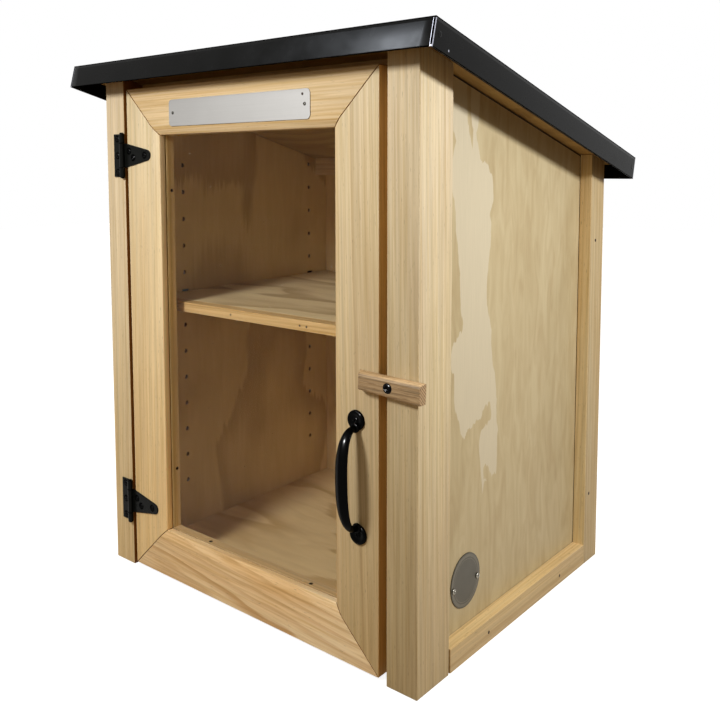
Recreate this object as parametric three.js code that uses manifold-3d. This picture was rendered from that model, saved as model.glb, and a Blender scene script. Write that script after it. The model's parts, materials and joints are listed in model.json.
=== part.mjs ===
// Street book exchange box: a pine cabinet with a shed roof, a framed door and one shelf.
// Millimetres, +Z up. The door looks along -Y. Each named mesh is one physical piece.

import * as THREE from 'three';
import { mergeVertices } from 'three/addons/utils/BufferGeometryUtils.js';
import Module from 'manifold-3d';

// Driving dimensions of the cabinet
const BODY_WIDTH = 496;
const BODY_DEPTH = 439;
const FRONT_HEIGHT = 673;
const FRONT_POST_FACE = 38;
const FRONT_POST_SIDE = 60;
const REAR_POST_SIDE = 40;
const TRIM_THICKNESS = 16;
const PANEL_THICKNESS = 8;
const BACK_THICKNESS = 12;
const FLOOR_THICKNESS = 15;
const LOWER_RAIL_HEIGHT = 27;
const RAIL_FRONT_GAP = 3;
const PANEL_TOP_GAP = 1;
const HEADER_THICKNESS = 19;
const HEADER_LAP = 20;
const CLEAT_DEPTH = 27;
const CLEAT_HEIGHT = 28;

// Driving dimensions of the roof, which falls from its top front edge to its top rear edge
const REAR_HEIGHT = 546;
const ROOF_FRONT_OVERHANG = 25.2;
const ROOF_REAR_OVERHANG = 18;
const ROOF_SIDE_OVERHANG = 34;
const FLANGE_HEIGHT = 29;
const SHEET_THICKNESS = 1;
const DECK_THICKNESS = 8.7;

// Driving dimensions of the door
const DOOR_RECESS = 1;
const DOOR_THICKNESS = 28;
const DOOR_HINGE_GAP = 4.5;
const DOOR_LATCH_GAP = 10.5;
const DOOR_BOTTOM_GAP = 4;
const DOOR_ROOF_GAP = 6;
const DOOR_STOP_GAP = 2;
const STILE_WIDTH = 60;
const EDGE_RUN = 11;
const EDGE_DEPTH = 4.4;
const EDGE_FULLNESS = 1.45;
const PANE_SETBACK = 13;
const PANE_THICKNESS = 2.5;
const REBATE_WIDTH = 10;
const PANE_CLEARANCE = 1;

// Driving dimensions of the two strap hinges
const HINGE_HEIGHT = 56;
const HINGE_INSET = 85;
const LEAF_WIDTH = 19.4;
const LEAF_THICKNESS = 1.5;
const LEAF_SCREW_MARGIN = 7.8;
const STRAP_LENGTH = 54;
const STRAP_ROOT = 31.6;
const STRAP_TIP_RADIUS = 7;
const BARREL_RADIUS = 3.4;
const BARREL_POST_LAP = 2;
const HINGE_PIN_RADIUS = 1.6;
const PIN_HEAD_RADIUS = 2.7;
const PIN_HEAD_HEIGHT = 1.8;
const KNUCKLE_GAP = 0.4;

// Driving dimensions of the pull, the turn button, the plate and the medallion
const PULL_CENTRES = 122.4;
const PULL_PROJECTION = 28;
const PULL_INSET = 27.1;
const PULL_RISE = 210;
const PULL_LEAN = 0.022;
const PULL_DISC_RADIUS = 10.7;
const PULL_DISC_THICKNESS = 3.5;
const BOW_SPAN = 109;
const BOW_WIDTH = 15.6;
const BOW_THICKNESS = 8.4;
const BOW_FULLNESS = 2.5;
const BOW_NECK_WIDTH = 6.6;
const BOW_NECK_THICKNESS = 5.4;
const LATCH_NOSE = 44;
const LATCH_TAIL = 38;
const LATCH_HEIGHT = 21;
const LATCH_THICKNESS = 12.5;
const LATCH_ROUND = 4;
const LATCH_NOSE_SLOPE = 7.5;
const LATCH_NOSE_TOP_TAPER = 2;
const LATCH_NOSE_FOOT_TAPER = 1;
const LATCH_INSET = 9.5;
const LATCH_RISE = 319.4;
const LATCH_TILT = 2.6;
const PLATE_LENGTH = 230;
const PLATE_HEIGHT = 32.5;
const PLATE_THICKNESS = 1;
const PLATE_ROUND = 5;
const PLATE_DROP = 34;
const PLATE_SHIFT = 2;
const PLATE_SCREW_INSET = 7.5;
const MEDALLION_RADIUS = 30.6;
const MEDALLION_THICKNESS = 1.2;
const MEDALLION_SETBACK = 58;
const MEDALLION_RISE = 78;
const MEDALLION_SCREW_OFFSET = 25.2;
const MEDALLION_SCREW_DROP = 3.5;

// Driving dimensions of the shelf, its pins and the columns of holes that take them
const SHELF_THICKNESS = 13;
const SHELF_DOOR_GAP = 14;
const SHELF_END_GAP = 0.4;
const SHELF_POST_GAP = 1.5;
const SHELF_ROW = 5;
const HOLE_RADIUS = 3.25;
const HOLE_DEPTH = 6;
const HOLE_PITCH = 38.1;
const HOLE_FRONT_INSET = 51;
const HOLE_REAR_INSET = 43.7;
const TOP_HOLE_DROP = 14.3;
const LOWEST_HOLE_RISE = 60;
const PIN_WIDTH = 10;
const PIN_PLATE = 1.6;
const PIN_LEDGE = 9;
const PIN_LEDGE_DROP = 1.9;
const PIN_LIP = 2.5;

// Screws: head radius, dome height, shank radius and shank length
const HINGE_SCREW = { head: 3.1, dome: 1.1, shank: 1.5, length: 17 };
const PULL_SCREW = { head: 3.4, dome: 1.2, shank: 1.6, length: 22 };
const LATCH_SCREW = { head: 5.4, dome: 2.2, shank: 2.1, length: 36 };
const PLATE_SCREW = { head: 2, dome: 1, shank: 1.1, length: 11 };
const MEDALLION_SCREW = { head: 3.4, dome: 2.1, shank: 1.3, length: 6.5 };

// Clearances and working values
const SEAT_GAP = 0.3;
const RUNNING_GAP = 0.3;
const SHANK_CLEARANCE = 0.1;
const OVERRUN = 2;
const RADIAN = Math.PI / 180;
const TANGENT_STEP = 0.01;

// Sides of the round pieces
const SCREW_SIDES = 10;
const HOLE_SIDES = 8;
const BARREL_SIDES = 16;
const BOW_SIDES = 10;
const BOW_STEPS = 18;
const DISC_SIDES = 24;
const MEDALLION_SIDES = 40;
const ROUND_STEPS = 4;

// Places that follow from the driving dimensions
const bodyHalf = BODY_WIDTH / 2;
const postInner = bodyHalf - FRONT_POST_FACE;
const panelOuter = bodyHalf - TRIM_THICKNESS;
const panelInner = panelOuter - PANEL_THICKNESS;
const backFront = BODY_DEPTH - BACK_THICKNESS;
const rearPostFront = BODY_DEPTH - REAR_POST_SIDE;
const roofRun = BODY_DEPTH + ROOF_FRONT_OVERHANG + ROOF_REAR_OVERHANG;
const slope = Math.atan((FRONT_HEIGHT - REAR_HEIGHT) / roofRun);
const roofLength = roofRun / Math.cos(slope);
const roofHalf = bodyHalf + ROOF_SIDE_OVERHANG;
const deckUnder = SHEET_THICKNESS + SEAT_GAP + DECK_THICKNESS;
const flangeFoot = FRONT_HEIGHT - FLANGE_HEIGHT * Math.cos(slope);
const roofFrontY = -ROOF_FRONT_OVERHANG - FLANGE_HEIGHT * Math.sin(slope);
const roofRearY = BODY_DEPTH + ROOF_REAR_OVERHANG;
const doorLeft = -postInner + DOOR_HINGE_GAP;
const doorRight = postInner - DOOR_LATCH_GAP;
const doorFront = DOOR_RECESS;
const doorBack = doorFront + DOOR_THICKNESS;
const doorBottom = DOOR_BOTTOM_GAP;
const doorTop = Math.min(flangeFoot, slopeHeight(doorBack, deckUnder)) - DOOR_ROOF_GAP;
const stopFront = doorBack + DOOR_STOP_GAP;
const hingeX = -postInner - BARREL_POST_LAP;
const hingeY = -BARREL_RADIUS - SHANK_CLEARANCE;
const pullX = doorRight - PULL_INSET;
const pullMid = doorBottom + PULL_RISE;
const latchX = postInner + LATCH_INSET;
const plateX = (doorLeft + doorRight) / 2 - PLATE_SHIFT;
const plateZ = doorTop - PLATE_DROP;
const plateScrewX = PLATE_LENGTH / 2 - PLATE_SCREW_INSET;
const medallionY = FRONT_POST_SIDE + MEDALLION_SETBACK;
const medallionScrewZ = MEDALLION_RISE - MEDALLION_SCREW_DROP;
const holeColumns = [FRONT_POST_SIDE + HOLE_FRONT_INSET, backFront - HOLE_REAR_INSET];
const topHole = slopeHeight(holeColumns[1], deckUnder) - TOP_HOLE_DROP;
const holeSpan = topHole - FLOOR_THICKNESS - LOWEST_HOLE_RISE;
const holeCount = Math.floor(holeSpan / HOLE_PITCH) + 1;
const holeRows = Array.from({ length: holeCount }, (_, k) => topHole - k * HOLE_PITCH);
const pinZ = holeRows[SHELF_ROW];
const shelfUnder = pinZ - PIN_LEDGE_DROP;
const shelfTop = shelfUnder + SHELF_THICKNESS;

// Screw places on a hinge, as shares of the strap's length and root and of the leaf's height
const STRAP_SCREW_SHARES = [[0.205, 0.175], [0.36, -0.095], [0.79, 0]];
const LEAF_SCREW_SHARES = [0.39, 0, -0.39];

// Points of a domed head, as shares of a quarter turn, and the flat crown of a pin's head
const DOME_SHARES = [1, 0.75, 0.3];
const CROWN_SHARE = 0.6;

// Height of the plane that lies a given depth under the roof's top face, at a given y
function slopeHeight(y, depth) {
  return FRONT_HEIGHT - (y + ROOF_FRONT_OVERHANG) * Math.tan(slope) - depth / Math.cos(slope);
}

// Solids
const wasm = await Module();
wasm.setup();

function toSolid(geometry) {
  const bare = geometry.clone();
  bare.deleteAttribute('normal');
  bare.deleteAttribute('uv');
  const merged = mergeVertices(bare);
  const vertProperties = merged.attributes.position.array;
  const triVerts = Uint32Array.from(merged.index.array);
  return new wasm.Manifold(new wasm.Mesh({ numProp: 3, vertProperties, triVerts }));
}

function toGeometry(solid) {
  const mesh = solid.getMesh();
  const geometry = new THREE.BufferGeometry();
  geometry.setAttribute('position', new THREE.BufferAttribute(mesh.vertProperties, 3));
  geometry.setIndex(new THREE.BufferAttribute(mesh.triVerts, 1));
  return geometry;
}

function join(...geometries) {
  return toGeometry(geometries.map(toSolid).reduce((all, next) => all.add(next)));
}

function cut(geometry, cutters) {
  return toGeometry(cutters.map(toSolid).reduce((all, next) => all.subtract(next), toSolid(geometry)));
}

function common(first, second) {
  return toGeometry(toSolid(first).intersect(toSolid(second)));
}

function box([x0, x1], [y0, y1], [z0, z1]) {
  const geometry = new THREE.BoxGeometry(x1 - x0, y1 - y0, z1 - z0);
  return geometry.translate((x0 + x1) / 2, (y0 + y1) / 2, (z0 + z1) / 2);
}

function outline(points) {
  return new THREE.Shape(points.map(([a, b]) => new THREE.Vector2(a, b)));
}

function extrude(shape, length, curveSegments = ROUND_STEPS) {
  return new THREE.ExtrudeGeometry(shape, { depth: length, bevelEnabled: false, curveSegments });
}

// Prism with an outline of (y, z) points, from x0 to x1
function prismX(points, [x0, x1]) {
  const turn = new THREE.Matrix4().makeBasis(
    new THREE.Vector3(0, 1, 0),
    new THREE.Vector3(0, 0, 1),
    new THREE.Vector3(1, 0, 0),
  );
  return extrude(outline(points), x1 - x0).applyMatrix4(turn).translate(x0, 0, 0);
}

// Prism with a shape drawn in (x, z), from y0 to y1
function prismY(shape, [y0, y1]) {
  return extrude(shape, y1 - y0).rotateX(Math.PI / 2).translate(0, y1, 0);
}

// Prism with an outline of (x, y) points, from z0 to z1
function prismZ(points, [z0, z1]) {
  return extrude(outline(points), z1 - z0).translate(0, 0, z0);
}

function rodY(radius, [y0, y1], [x, z], sides) {
  return new THREE.CylinderGeometry(radius, radius, y1 - y0, sides).translate(x, (y0 + y1) / 2, z);
}

function rodX(radius, [x0, x1], [y, z], sides) {
  const rod = new THREE.CylinderGeometry(radius, radius, x1 - x0, sides).rotateZ(Math.PI / 2);
  return rod.translate((x0 + x1) / 2, y, z);
}

function rodZ(radius, [z0, z1], [x, y], sides) {
  const rod = new THREE.CylinderGeometry(radius, radius, z1 - z0, sides).rotateX(Math.PI / 2);
  return rod.translate(x, y, (z0 + z1) / 2);
}

// Board whose top is cut to the roof's slope
function slopedBoard(xs, [y0, y1], z0, depth) {
  return prismX([[y0, z0], [y1, z0], [y1, slopeHeight(y1, depth)], [y0, slopeHeight(y0, depth)]], xs);
}

// Rounded rectangle centred on its origin
function roundedRectangle(width, height, radius) {
  const [w, h] = [width / 2, height / 2];
  const shape = new THREE.Shape();
  shape.moveTo(-w + radius, -h);
  shape.lineTo(w - radius, -h);
  shape.absarc(w - radius, -h + radius, radius, -Math.PI / 2, 0);
  shape.lineTo(w, h - radius);
  shape.absarc(w - radius, h - radius, radius, 0, Math.PI / 2);
  shape.lineTo(-w + radius, h);
  shape.absarc(-w + radius, h - radius, radius, Math.PI / 2, Math.PI);
  shape.lineTo(-w, -h + radius);
  shape.absarc(-w + radius, -h + radius, radius, Math.PI, 1.5 * Math.PI);
  return shape;
}

// Materials
const looks = {
  pine: { color: 0xd9bd8b, roughness: 0.7, metalness: 0 },
  plywood: { color: 0xd8c49a, roughness: 0.75, metalness: 0 },
  oak: { color: 0xb89a6c, roughness: 0.7, metalness: 0 },
  roofSheet: { color: 0x2f302d, roughness: 0.45, metalness: 0.3 },
  blackIron: { color: 0x16171a, roughness: 0.35, metalness: 0.4 },
  pane: { color: 0xe8eef0, roughness: 0.05, metalness: 0, transparent: true, opacity: 0.3 },
  aluminium: { color: 0xb8b9ba, roughness: 0.4, metalness: 0.9 },
  greyMetal: { color: 0x77736a, roughness: 0.5, metalness: 0.8 },
  steel: { color: 0xc4c2bc, roughness: 0.3, metalness: 1 },
};

const part = new THREE.Group();
const cabinet = new THREE.Group();
cabinet.position.y = -(roofFrontY + roofRearY) / 2;
part.add(cabinet);

function add(name, geometry, look, parent = cabinet) {
  const flat = geometry.index ? geometry.toNonIndexed() : geometry;
  flat.computeVertexNormals();
  const mesh = new THREE.Mesh(flat, new THREE.MeshStandardMaterial(looks[look]));
  mesh.name = name;
  parent.add(mesh);
  return mesh;
}

// Left pieces are built at negative x and right pieces at positive x
const SIDES = [['left', -1], ['right', 1]];

function span(side, inner, outer) {
  return side < 0 ? [-outer, -inner] : [inner, outer];
}

// Screws: a domed head on a shank, turned on the axis that runs from the tip to the head
function screwProfile({ head, dome, shank, length }) {
  const tip = [[0, -length], [shank, shank - length], [shank, 0]];
  const rim = DOME_SHARES.map((share) => {
    const angle = share * Math.PI / 2;
    return [head * Math.sin(angle), dome * Math.cos(angle)];
  });
  return [...tip, ...rim, [0, dome]].map(([radius, height]) => new THREE.Vector2(radius, height));
}

// Screw whose head rests on the plane y = seat and whose shank runs to +Y
function screwY(size, [x, z], seat) {
  return new THREE.LatheGeometry(screwProfile(size), SCREW_SIDES).rotateX(Math.PI).translate(x, seat, z);
}

// Screw whose head rests on the plane x = seat and whose shank runs to -X
function screwX(size, [y, z], seat) {
  return new THREE.LatheGeometry(screwProfile(size), SCREW_SIDES).rotateZ(-Math.PI / 2).translate(seat, y, z);
}

// Hole that gives a screw's shank its clearance, from the seat to just past the tip
function pullPlace(z) {
  return [pullX - (z - pullMid) * PULL_LEAN, z];
}

function pilotY(size, place, seat) {
  const ys = [seat - OVERRUN, seat + size.length + SEAT_GAP];
  return rodY(size.shank + SHANK_CLEARANCE, ys, place, SCREW_SIDES);
}

function medallionPilot(place) {
  const tip = panelOuter + MEDALLION_THICKNESS - MEDALLION_SCREW.length - SEAT_GAP;
  return rodX(MEDALLION_SCREW.shank + SHANK_CLEARANCE, [tip, panelOuter + OVERRUN], place, SCREW_SIDES);
}

// Places of the hinges and of their screws
const hingeCentres = { top: doorTop - HINGE_INSET, bottom: doorBottom + HINGE_INSET };
const strapFront = doorFront - LEAF_THICKNESS;
const pullSeat = doorFront - PULL_DISC_THICKNESS;
const plateSeat = doorFront - PLATE_THICKNESS;

function strapScrewPlaces(centre) {
  return STRAP_SCREW_SHARES.map(([along, up]) => [hingeX + along * STRAP_LENGTH, centre + up * STRAP_ROOT]);
}

function leafScrewPlaces(centre) {
  const x = hingeX - LEAF_WIDTH + LEAF_SCREW_MARGIN;
  return LEAF_SCREW_SHARES.map((share) => [x, centre + share * HINGE_HEIGHT]);
}

const allLeafScrews = Object.values(hingeCentres).flatMap(leafScrewPlaces);
const allStrapScrews = Object.values(hingeCentres).flatMap(strapScrewPlaces);
const pullScrewPlaces = [1, -1].map((end) => pullPlace(pullMid + end * PULL_CENTRES / 2));
const plateScrewPlaces = [-1, 1].map((end) => [plateX + end * plateScrewX, plateZ]);
const medallionScrewYs = [medallionY - MEDALLION_SCREW_OFFSET, medallionY + MEDALLION_SCREW_OFFSET];
const medallionScrewPlaces = medallionScrewYs.map((y) => [y, medallionScrewZ]);

// Cabinet: posts, rails, panels, floor, header and cleat
function addPosts() {
  const pilots = {
    left: allLeafScrews.map((place) => pilotY(HINGE_SCREW, place, -LEAF_THICKNESS)),
    right: [pilotY(LATCH_SCREW, [latchX, LATCH_RISE], -LATCH_THICKNESS)],
  };
  for (const [name, side] of SIDES) {
    const depth = deckUnder + SEAT_GAP;
    const front = slopedBoard(span(side, postInner, bodyHalf), [0, FRONT_POST_SIDE], 0, depth);
    const rear = slopedBoard(span(side, panelOuter, bodyHalf), [rearPostFront, BODY_DEPTH], 0, depth);
    add(`front_${name}_post`, cut(front, pilots[name]), 'pine');
    add(`rear_${name}_post`, rear, 'pine');
  }
}

function addRails() {
  for (const [name, side] of SIDES) {
    const ys = [FRONT_POST_SIDE + RAIL_FRONT_GAP, rearPostFront];
    add(`${name}_lower_rail`, box(span(side, panelOuter, bodyHalf), ys, [0, LOWER_RAIL_HEIGHT]), 'pine');
  }
}

function addSidePanels() {
  for (const [name, side] of SIDES) {
    const xs = span(side, panelInner, panelOuter);
    const panel = slopedBoard(xs, [FRONT_POST_SIDE, backFront], 0, deckUnder + PANEL_TOP_GAP);
    const holeXs = span(side, panelInner - OVERRUN, panelInner + HOLE_DEPTH);
    const holeColumn = (y) => holeRows.map((z) => rodX(HOLE_RADIUS, holeXs, [y, z], HOLE_SIDES));
    const cutters = holeColumns.flatMap(holeColumn);
    if (name === 'right') {
      cutters.push(...medallionScrewPlaces.map(medallionPilot));
    }
    add(`${name}_side_panel`, cut(panel, cutters), 'plywood');
  }
}

function addInnerBoards() {
  const underDeck = deckUnder + SEAT_GAP;
  add('back_panel', slopedBoard([-panelOuter, panelOuter], [backFront, BODY_DEPTH], 0, underDeck), 'plywood');

  const floor = [
    [-postInner, stopFront], [postInner, stopFront],
    [postInner, FRONT_POST_SIDE], [panelInner, FRONT_POST_SIDE],
    [panelInner, backFront], [-panelInner, backFront],
    [-panelInner, FRONT_POST_SIDE], [-postInner, FRONT_POST_SIDE],
  ];
  add('floor_panel', prismZ(floor, [0, FLOOR_THICKNESS]), 'plywood');

  const headerYs = [stopFront, stopFront + HEADER_THICKNESS];
  const header = slopedBoard([-postInner, postInner], headerYs, doorTop - HEADER_LAP, underDeck);
  add('front_header', header, 'pine');

  const cleatYs = [backFront - CLEAT_DEPTH, backFront];
  const cleatFoot = slopeHeight(cleatYs[0], deckUnder) - CLEAT_HEIGHT;
  add('rear_cleat', slopedBoard([-panelInner, panelInner], cleatYs, cleatFoot, underDeck), 'pine');
}

// Roof: a folded sheet cap over a board, both in a group turned to the slope
function addRoof() {
  const roof = new THREE.Group();
  roof.position.set(0, -ROOF_FRONT_OVERHANG, FRONT_HEIGHT);
  roof.rotation.x = -slope;
  cabinet.add(roof);

  const sheetEdge = roofHalf - SHEET_THICKNESS;
  const capOuter = box([-roofHalf, roofHalf], [0, roofLength], [-FLANGE_HEIGHT, 0]);
  const hollowYs = [SHEET_THICKNESS, roofLength - SHEET_THICKNESS];
  const hollow = box([-sheetEdge, sheetEdge], hollowYs, [-FLANGE_HEIGHT - OVERRUN, -SHEET_THICKNESS]);
  add('roof_cap', cut(capOuter, [hollow]), 'roofSheet', roof);

  const deckHalf = sheetEdge - SEAT_GAP;
  const deckYs = [hollowYs[0] + SEAT_GAP, hollowYs[1] - SEAT_GAP];
  const deckZs = [-deckUnder, -SHEET_THICKNESS - SEAT_GAP];
  add('roof_deck', box([-deckHalf, deckHalf], deckYs, deckZs), 'plywood', roof);
}

// Door frame: one profile, with a long eased inner edge and a rebate, mitred at both ends
function frameProfile() {
  const bed = STILE_WIDTH - REBATE_WIDTH;
  const round = Array.from({ length: ROUND_STEPS + 1 }, (_, k) => {
    const share = k / ROUND_STEPS;
    return [STILE_WIDTH - EDGE_RUN * (1 - share), EDGE_DEPTH * share ** EDGE_FULLNESS];
  });
  const rebate = [[STILE_WIDTH, PANE_SETBACK], [bed, PANE_SETBACK], [bed, DOOR_THICKNESS]];
  return [[0, 0], ...round, ...rebate, [0, DOOR_THICKNESS]];
}

// Length of frame along +X: its outer edge is z = 0, its width runs to +Z and its front is y = 0
function framePiece(length) {
  const profile = frameProfile();
  const inset = SEAT_GAP / Math.SQRT2;
  const low = profile.map(([u, y]) => [u + inset, y, u]);
  const high = profile.map(([u, y]) => [length - u - inset, y, u]);
  const count = profile.length;
  const faces = THREE.ShapeUtils.triangulateShape(profile.map(([u, y]) => new THREE.Vector2(u, y)), []);
  const index = faces.flatMap(([a, b, c]) => [a, b, c, a + count, c + count, b + count]);
  profile.forEach((_, k) => {
    const next = (k + 1) % count;
    index.push(k, next + count, next, k, k + count, next + count);
  });
  const geometry = new THREE.BufferGeometry();
  geometry.setAttribute('position', new THREE.Float32BufferAttribute([...low, ...high].flat(), 3));
  geometry.setIndex(index);
  return geometry;
}

function addDoorFrame() {
  const width = doorRight - doorLeft;
  const height = doorTop - doorBottom;
  const bottom = framePiece(width).translate(doorLeft, doorFront, doorBottom);
  const top = framePiece(width).rotateY(Math.PI).translate(doorRight, doorFront, doorTop);
  const left = framePiece(height).rotateY(Math.PI / 2).translate(doorLeft, doorFront, doorTop);
  const right = framePiece(height).rotateY(-Math.PI / 2).translate(doorRight, doorFront, doorBottom);
  const strapPilots = allStrapScrews.map((place) => pilotY(HINGE_SCREW, place, strapFront));
  const pullPilots = pullScrewPlaces.map((place) => pilotY(PULL_SCREW, place, pullSeat));
  const platePilots = plateScrewPlaces.map((place) => pilotY(PLATE_SCREW, place, plateSeat));
  add('door_bottom_rail', bottom, 'pine');
  add('door_top_rail', cut(top, platePilots), 'pine');
  add('door_left_stile', cut(left, strapPilots), 'pine');
  add('door_right_stile', cut(right, pullPilots), 'pine');
}

// Pane in the rebate, held by four beads: the upright ones stand between the level ones
function addPane() {
  const bed = STILE_WIDTH - REBATE_WIDTH;
  const paneFront = doorFront + PANE_SETBACK;
  const beadYs = [paneFront + PANE_THICKNESS, doorBack];
  const bedXs = [doorLeft + bed, doorRight - bed];
  const bedZs = [doorBottom + bed, doorTop - bed];
  const sightZs = [doorBottom + STILE_WIDTH, doorTop - STILE_WIDTH];
  const paneXs = [bedXs[0] + PANE_CLEARANCE, bedXs[1] - PANE_CLEARANCE];
  const paneZs = [bedZs[0] + PANE_CLEARANCE, bedZs[1] - PANE_CLEARANCE];
  add('door_pane', box(paneXs, [paneFront, paneFront + PANE_THICKNESS], paneZs), 'pane');
  add('bead_bottom', box(bedXs, beadYs, [bedZs[0], sightZs[0]]), 'pine');
  add('bead_top', box(bedXs, beadYs, [sightZs[1], bedZs[1]]), 'pine');
  add('bead_left', box([bedXs[0], bedXs[0] + REBATE_WIDTH], beadYs, sightZs), 'pine');
  add('bead_right', box([bedXs[1] - REBATE_WIDTH, bedXs[1]], beadYs, sightZs), 'pine');
}

// Strap hinges: a leaf on the post, a tapered strap on the door and a pin with a head at each end
function knuckle(zs) {
  return rodZ(BARREL_RADIUS, zs, [hingeX, hingeY], BARREL_SIDES);
}

function hingeBore(centre) {
  const reach = HINGE_HEIGHT / 2 + OVERRUN;
  const radius = HINGE_PIN_RADIUS + SHANK_CLEARANCE;
  return rodZ(radius, [centre - reach, centre + reach], [hingeX, hingeY], BARREL_SIDES);
}

function jambLeaf(centre) {
  const [low, high] = [centre - HINGE_HEIGHT / 2, centre + HINGE_HEIGHT / 2];
  const notchHalf = STRAP_ROOT / 2 + KNUCKLE_GAP;
  const plate = box([hingeX - LEAF_WIDTH, hingeX], [-LEAF_THICKNESS, 0], [low, high]);
  const notchXs = [hingeX - BARREL_RADIUS - KNUCKLE_GAP, hingeX + OVERRUN];
  const notch = box(notchXs, [-LEAF_THICKNESS - OVERRUN, OVERRUN], [centre - notchHalf, centre + notchHalf]);
  const barrel = join(knuckle([low, centre - notchHalf]), knuckle([centre + notchHalf, high]));
  const pilots = leafScrewPlaces(centre).map((place) => pilotY(HINGE_SCREW, place, -LEAF_THICKNESS));
  return cut(join(cut(plate, [notch]), barrel), [hingeBore(centre), ...pilots]);
}

// The strap's outline on the door: level at the root, then tapered to a round tip
function strapOutline(centre) {
  const half = STRAP_ROOT / 2;
  const rootX = hingeX + BARREL_RADIUS;
  const tipX = hingeX + STRAP_LENGTH - STRAP_TIP_RADIUS;
  const reach = Math.hypot(rootX - tipX, half);
  const angle = Math.atan2(half, rootX - tipX) - Math.acos(STRAP_TIP_RADIUS / reach);
  const shape = new THREE.Shape();
  shape.moveTo(hingeX, centre - half);
  shape.lineTo(rootX, centre - half);
  shape.absarc(tipX, centre, STRAP_TIP_RADIUS, -angle, angle);
  shape.lineTo(rootX, centre + half);
  shape.lineTo(hingeX, centre + half);
  return shape;
}

function strap(centre) {
  const zs = [centre - STRAP_ROOT / 2, centre + STRAP_ROOT / 2];
  const rootBack = hingeY + BARREL_RADIUS;
  const tipX = hingeX + STRAP_LENGTH;
  const back = [[hingeX, rootBack], [-postInner, rootBack], [doorLeft, doorFront], [tipX, doorFront]];
  const front = back.map(([x, y]) => [x, y - LEAF_THICKNESS]).reverse();
  const sheet = prismZ([...front, ...back].reverse(), zs);
  const blank = prismY(strapOutline(centre), [hingeY - OVERRUN, doorFront + OVERRUN]);
  const pilots = strapScrewPlaces(centre).map((place) => pilotY(HINGE_SCREW, place, strapFront));
  return cut(join(common(sheet, blank), knuckle(zs)), [hingeBore(centre), ...pilots]);
}

function hingePin(centre) {
  const half = HINGE_HEIGHT / 2;
  const top = half + PIN_HEAD_HEIGHT;
  const shoulder = half + PIN_HEAD_HEIGHT / 2;
  const neck = [[HINGE_PIN_RADIUS, half], [PIN_HEAD_RADIUS, half], [PIN_HEAD_RADIUS, shoulder]];
  const points = [...neck, [PIN_HEAD_RADIUS * CROWN_SHARE, top], [0, top]];
  const mirrored = points.map(([radius, height]) => [radius, -height]).reverse();
  const profile = [...mirrored, ...points].map(([radius, height]) => new THREE.Vector2(radius, height));
  const pin = new THREE.LatheGeometry(profile, BARREL_SIDES).rotateX(Math.PI / 2);
  return pin.translate(hingeX, hingeY, centre);
}

function addHinges() {
  for (const [place, centre] of Object.entries(hingeCentres)) {
    add(`${place}_hinge_leaf`, jambLeaf(centre), 'blackIron');
    add(`${place}_hinge_strap`, strap(centre), 'blackIron');
    add(`${place}_hinge_pin`, hingePin(centre), 'blackIron');
    leafScrewPlaces(centre).forEach((spot, k) => {
      add(`${place}_leaf_screw_${k + 1}`, screwY(HINGE_SCREW, spot, -LEAF_THICKNESS), 'blackIron');
    });
    strapScrewPlaces(centre).forEach((spot, k) => {
      add(`${place}_strap_screw_${k + 1}`, screwY(HINGE_SCREW, spot, strapFront), 'blackIron');
    });
  }
}

// Pull: two screwed discs and a bow between them, oval in section and fullest in the middle
function bow() {
  const power = 2 / BOW_FULLNESS;
  const rootY = doorFront - PULL_DISC_THICKNESS / 2;
  const depth = PULL_PROJECTION - PULL_DISC_THICKNESS / 2;
  const at = (turn) => {
    const [c, s] = [Math.cos(turn), Math.sin(turn)];
    return [rootY - depth * s ** power, pullMid - Math.sign(c) * BOW_SPAN / 2 * Math.abs(c) ** power];
  };
  const positions = [];
  for (let k = 0; k <= BOW_STEPS; k += 1) {
    const turn = k / BOW_STEPS * Math.PI;
    const swell = Math.sin(turn);
    const [y, z] = at(turn);
    const [y0, z0] = at(Math.max(turn - TANGENT_STEP, 0));
    const [y1, z1] = at(Math.min(turn + TANGENT_STEP, Math.PI));
    const run = Math.hypot(y1 - y0, z1 - z0);
    const [ny, nz] = [(z1 - z0) / run, (y0 - y1) / run];
    const halfWidth = (BOW_NECK_WIDTH + (BOW_WIDTH - BOW_NECK_WIDTH) * swell) / 2;
    const halfThickness = (BOW_NECK_THICKNESS + (BOW_THICKNESS - BOW_NECK_THICKNESS) * swell) / 2;
    for (let j = 0; j < BOW_SIDES; j += 1) {
      const around = j / BOW_SIDES * 2 * Math.PI;
      const out = halfThickness * Math.sin(around);
      const [middleX] = pullPlace(z);
      positions.push(middleX + halfWidth * Math.cos(around), y + ny * out, z + nz * out);
    }
  }
  return ringTube(positions, BOW_SIDES);
}

// Closed tube through equal rings of points, whose first and last rings are flat ends
function ringTube(positions, sides) {
  const rings = positions.length / 3 / sides;
  const index = [];
  for (let k = 0; k + 1 < rings; k += 1) {
    for (let j = 0; j < sides; j += 1) {
      const [a, b] = [k * sides + j, k * sides + (j + 1) % sides];
      index.push(a, b, b + sides, a, b + sides, a + sides);
    }
  }
  const last = (rings - 1) * sides;
  for (let j = 1; j + 1 < sides; j += 1) {
    index.push(0, j + 1, j, last, last + j, last + j + 1);
  }
  const geometry = new THREE.BufferGeometry();
  geometry.setAttribute('position', new THREE.Float32BufferAttribute(positions, 3));
  geometry.setIndex(index);
  return geometry;
}

function addPull() {
  const discYs = [pullSeat, doorFront];
  const discs = pullScrewPlaces.map((place) => rodY(PULL_DISC_RADIUS, discYs, place, DISC_SIDES));
  const pilots = pullScrewPlaces.map((place) => pilotY(PULL_SCREW, place, pullSeat));
  add('door_pull', cut(join(bow(), ...discs), pilots), 'blackIron');
  pullScrewPlaces.forEach((place, k) => {
    add(`pull_screw_${k + 1}`, screwY(PULL_SCREW, place, pullSeat), 'blackIron');
  });
}

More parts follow.
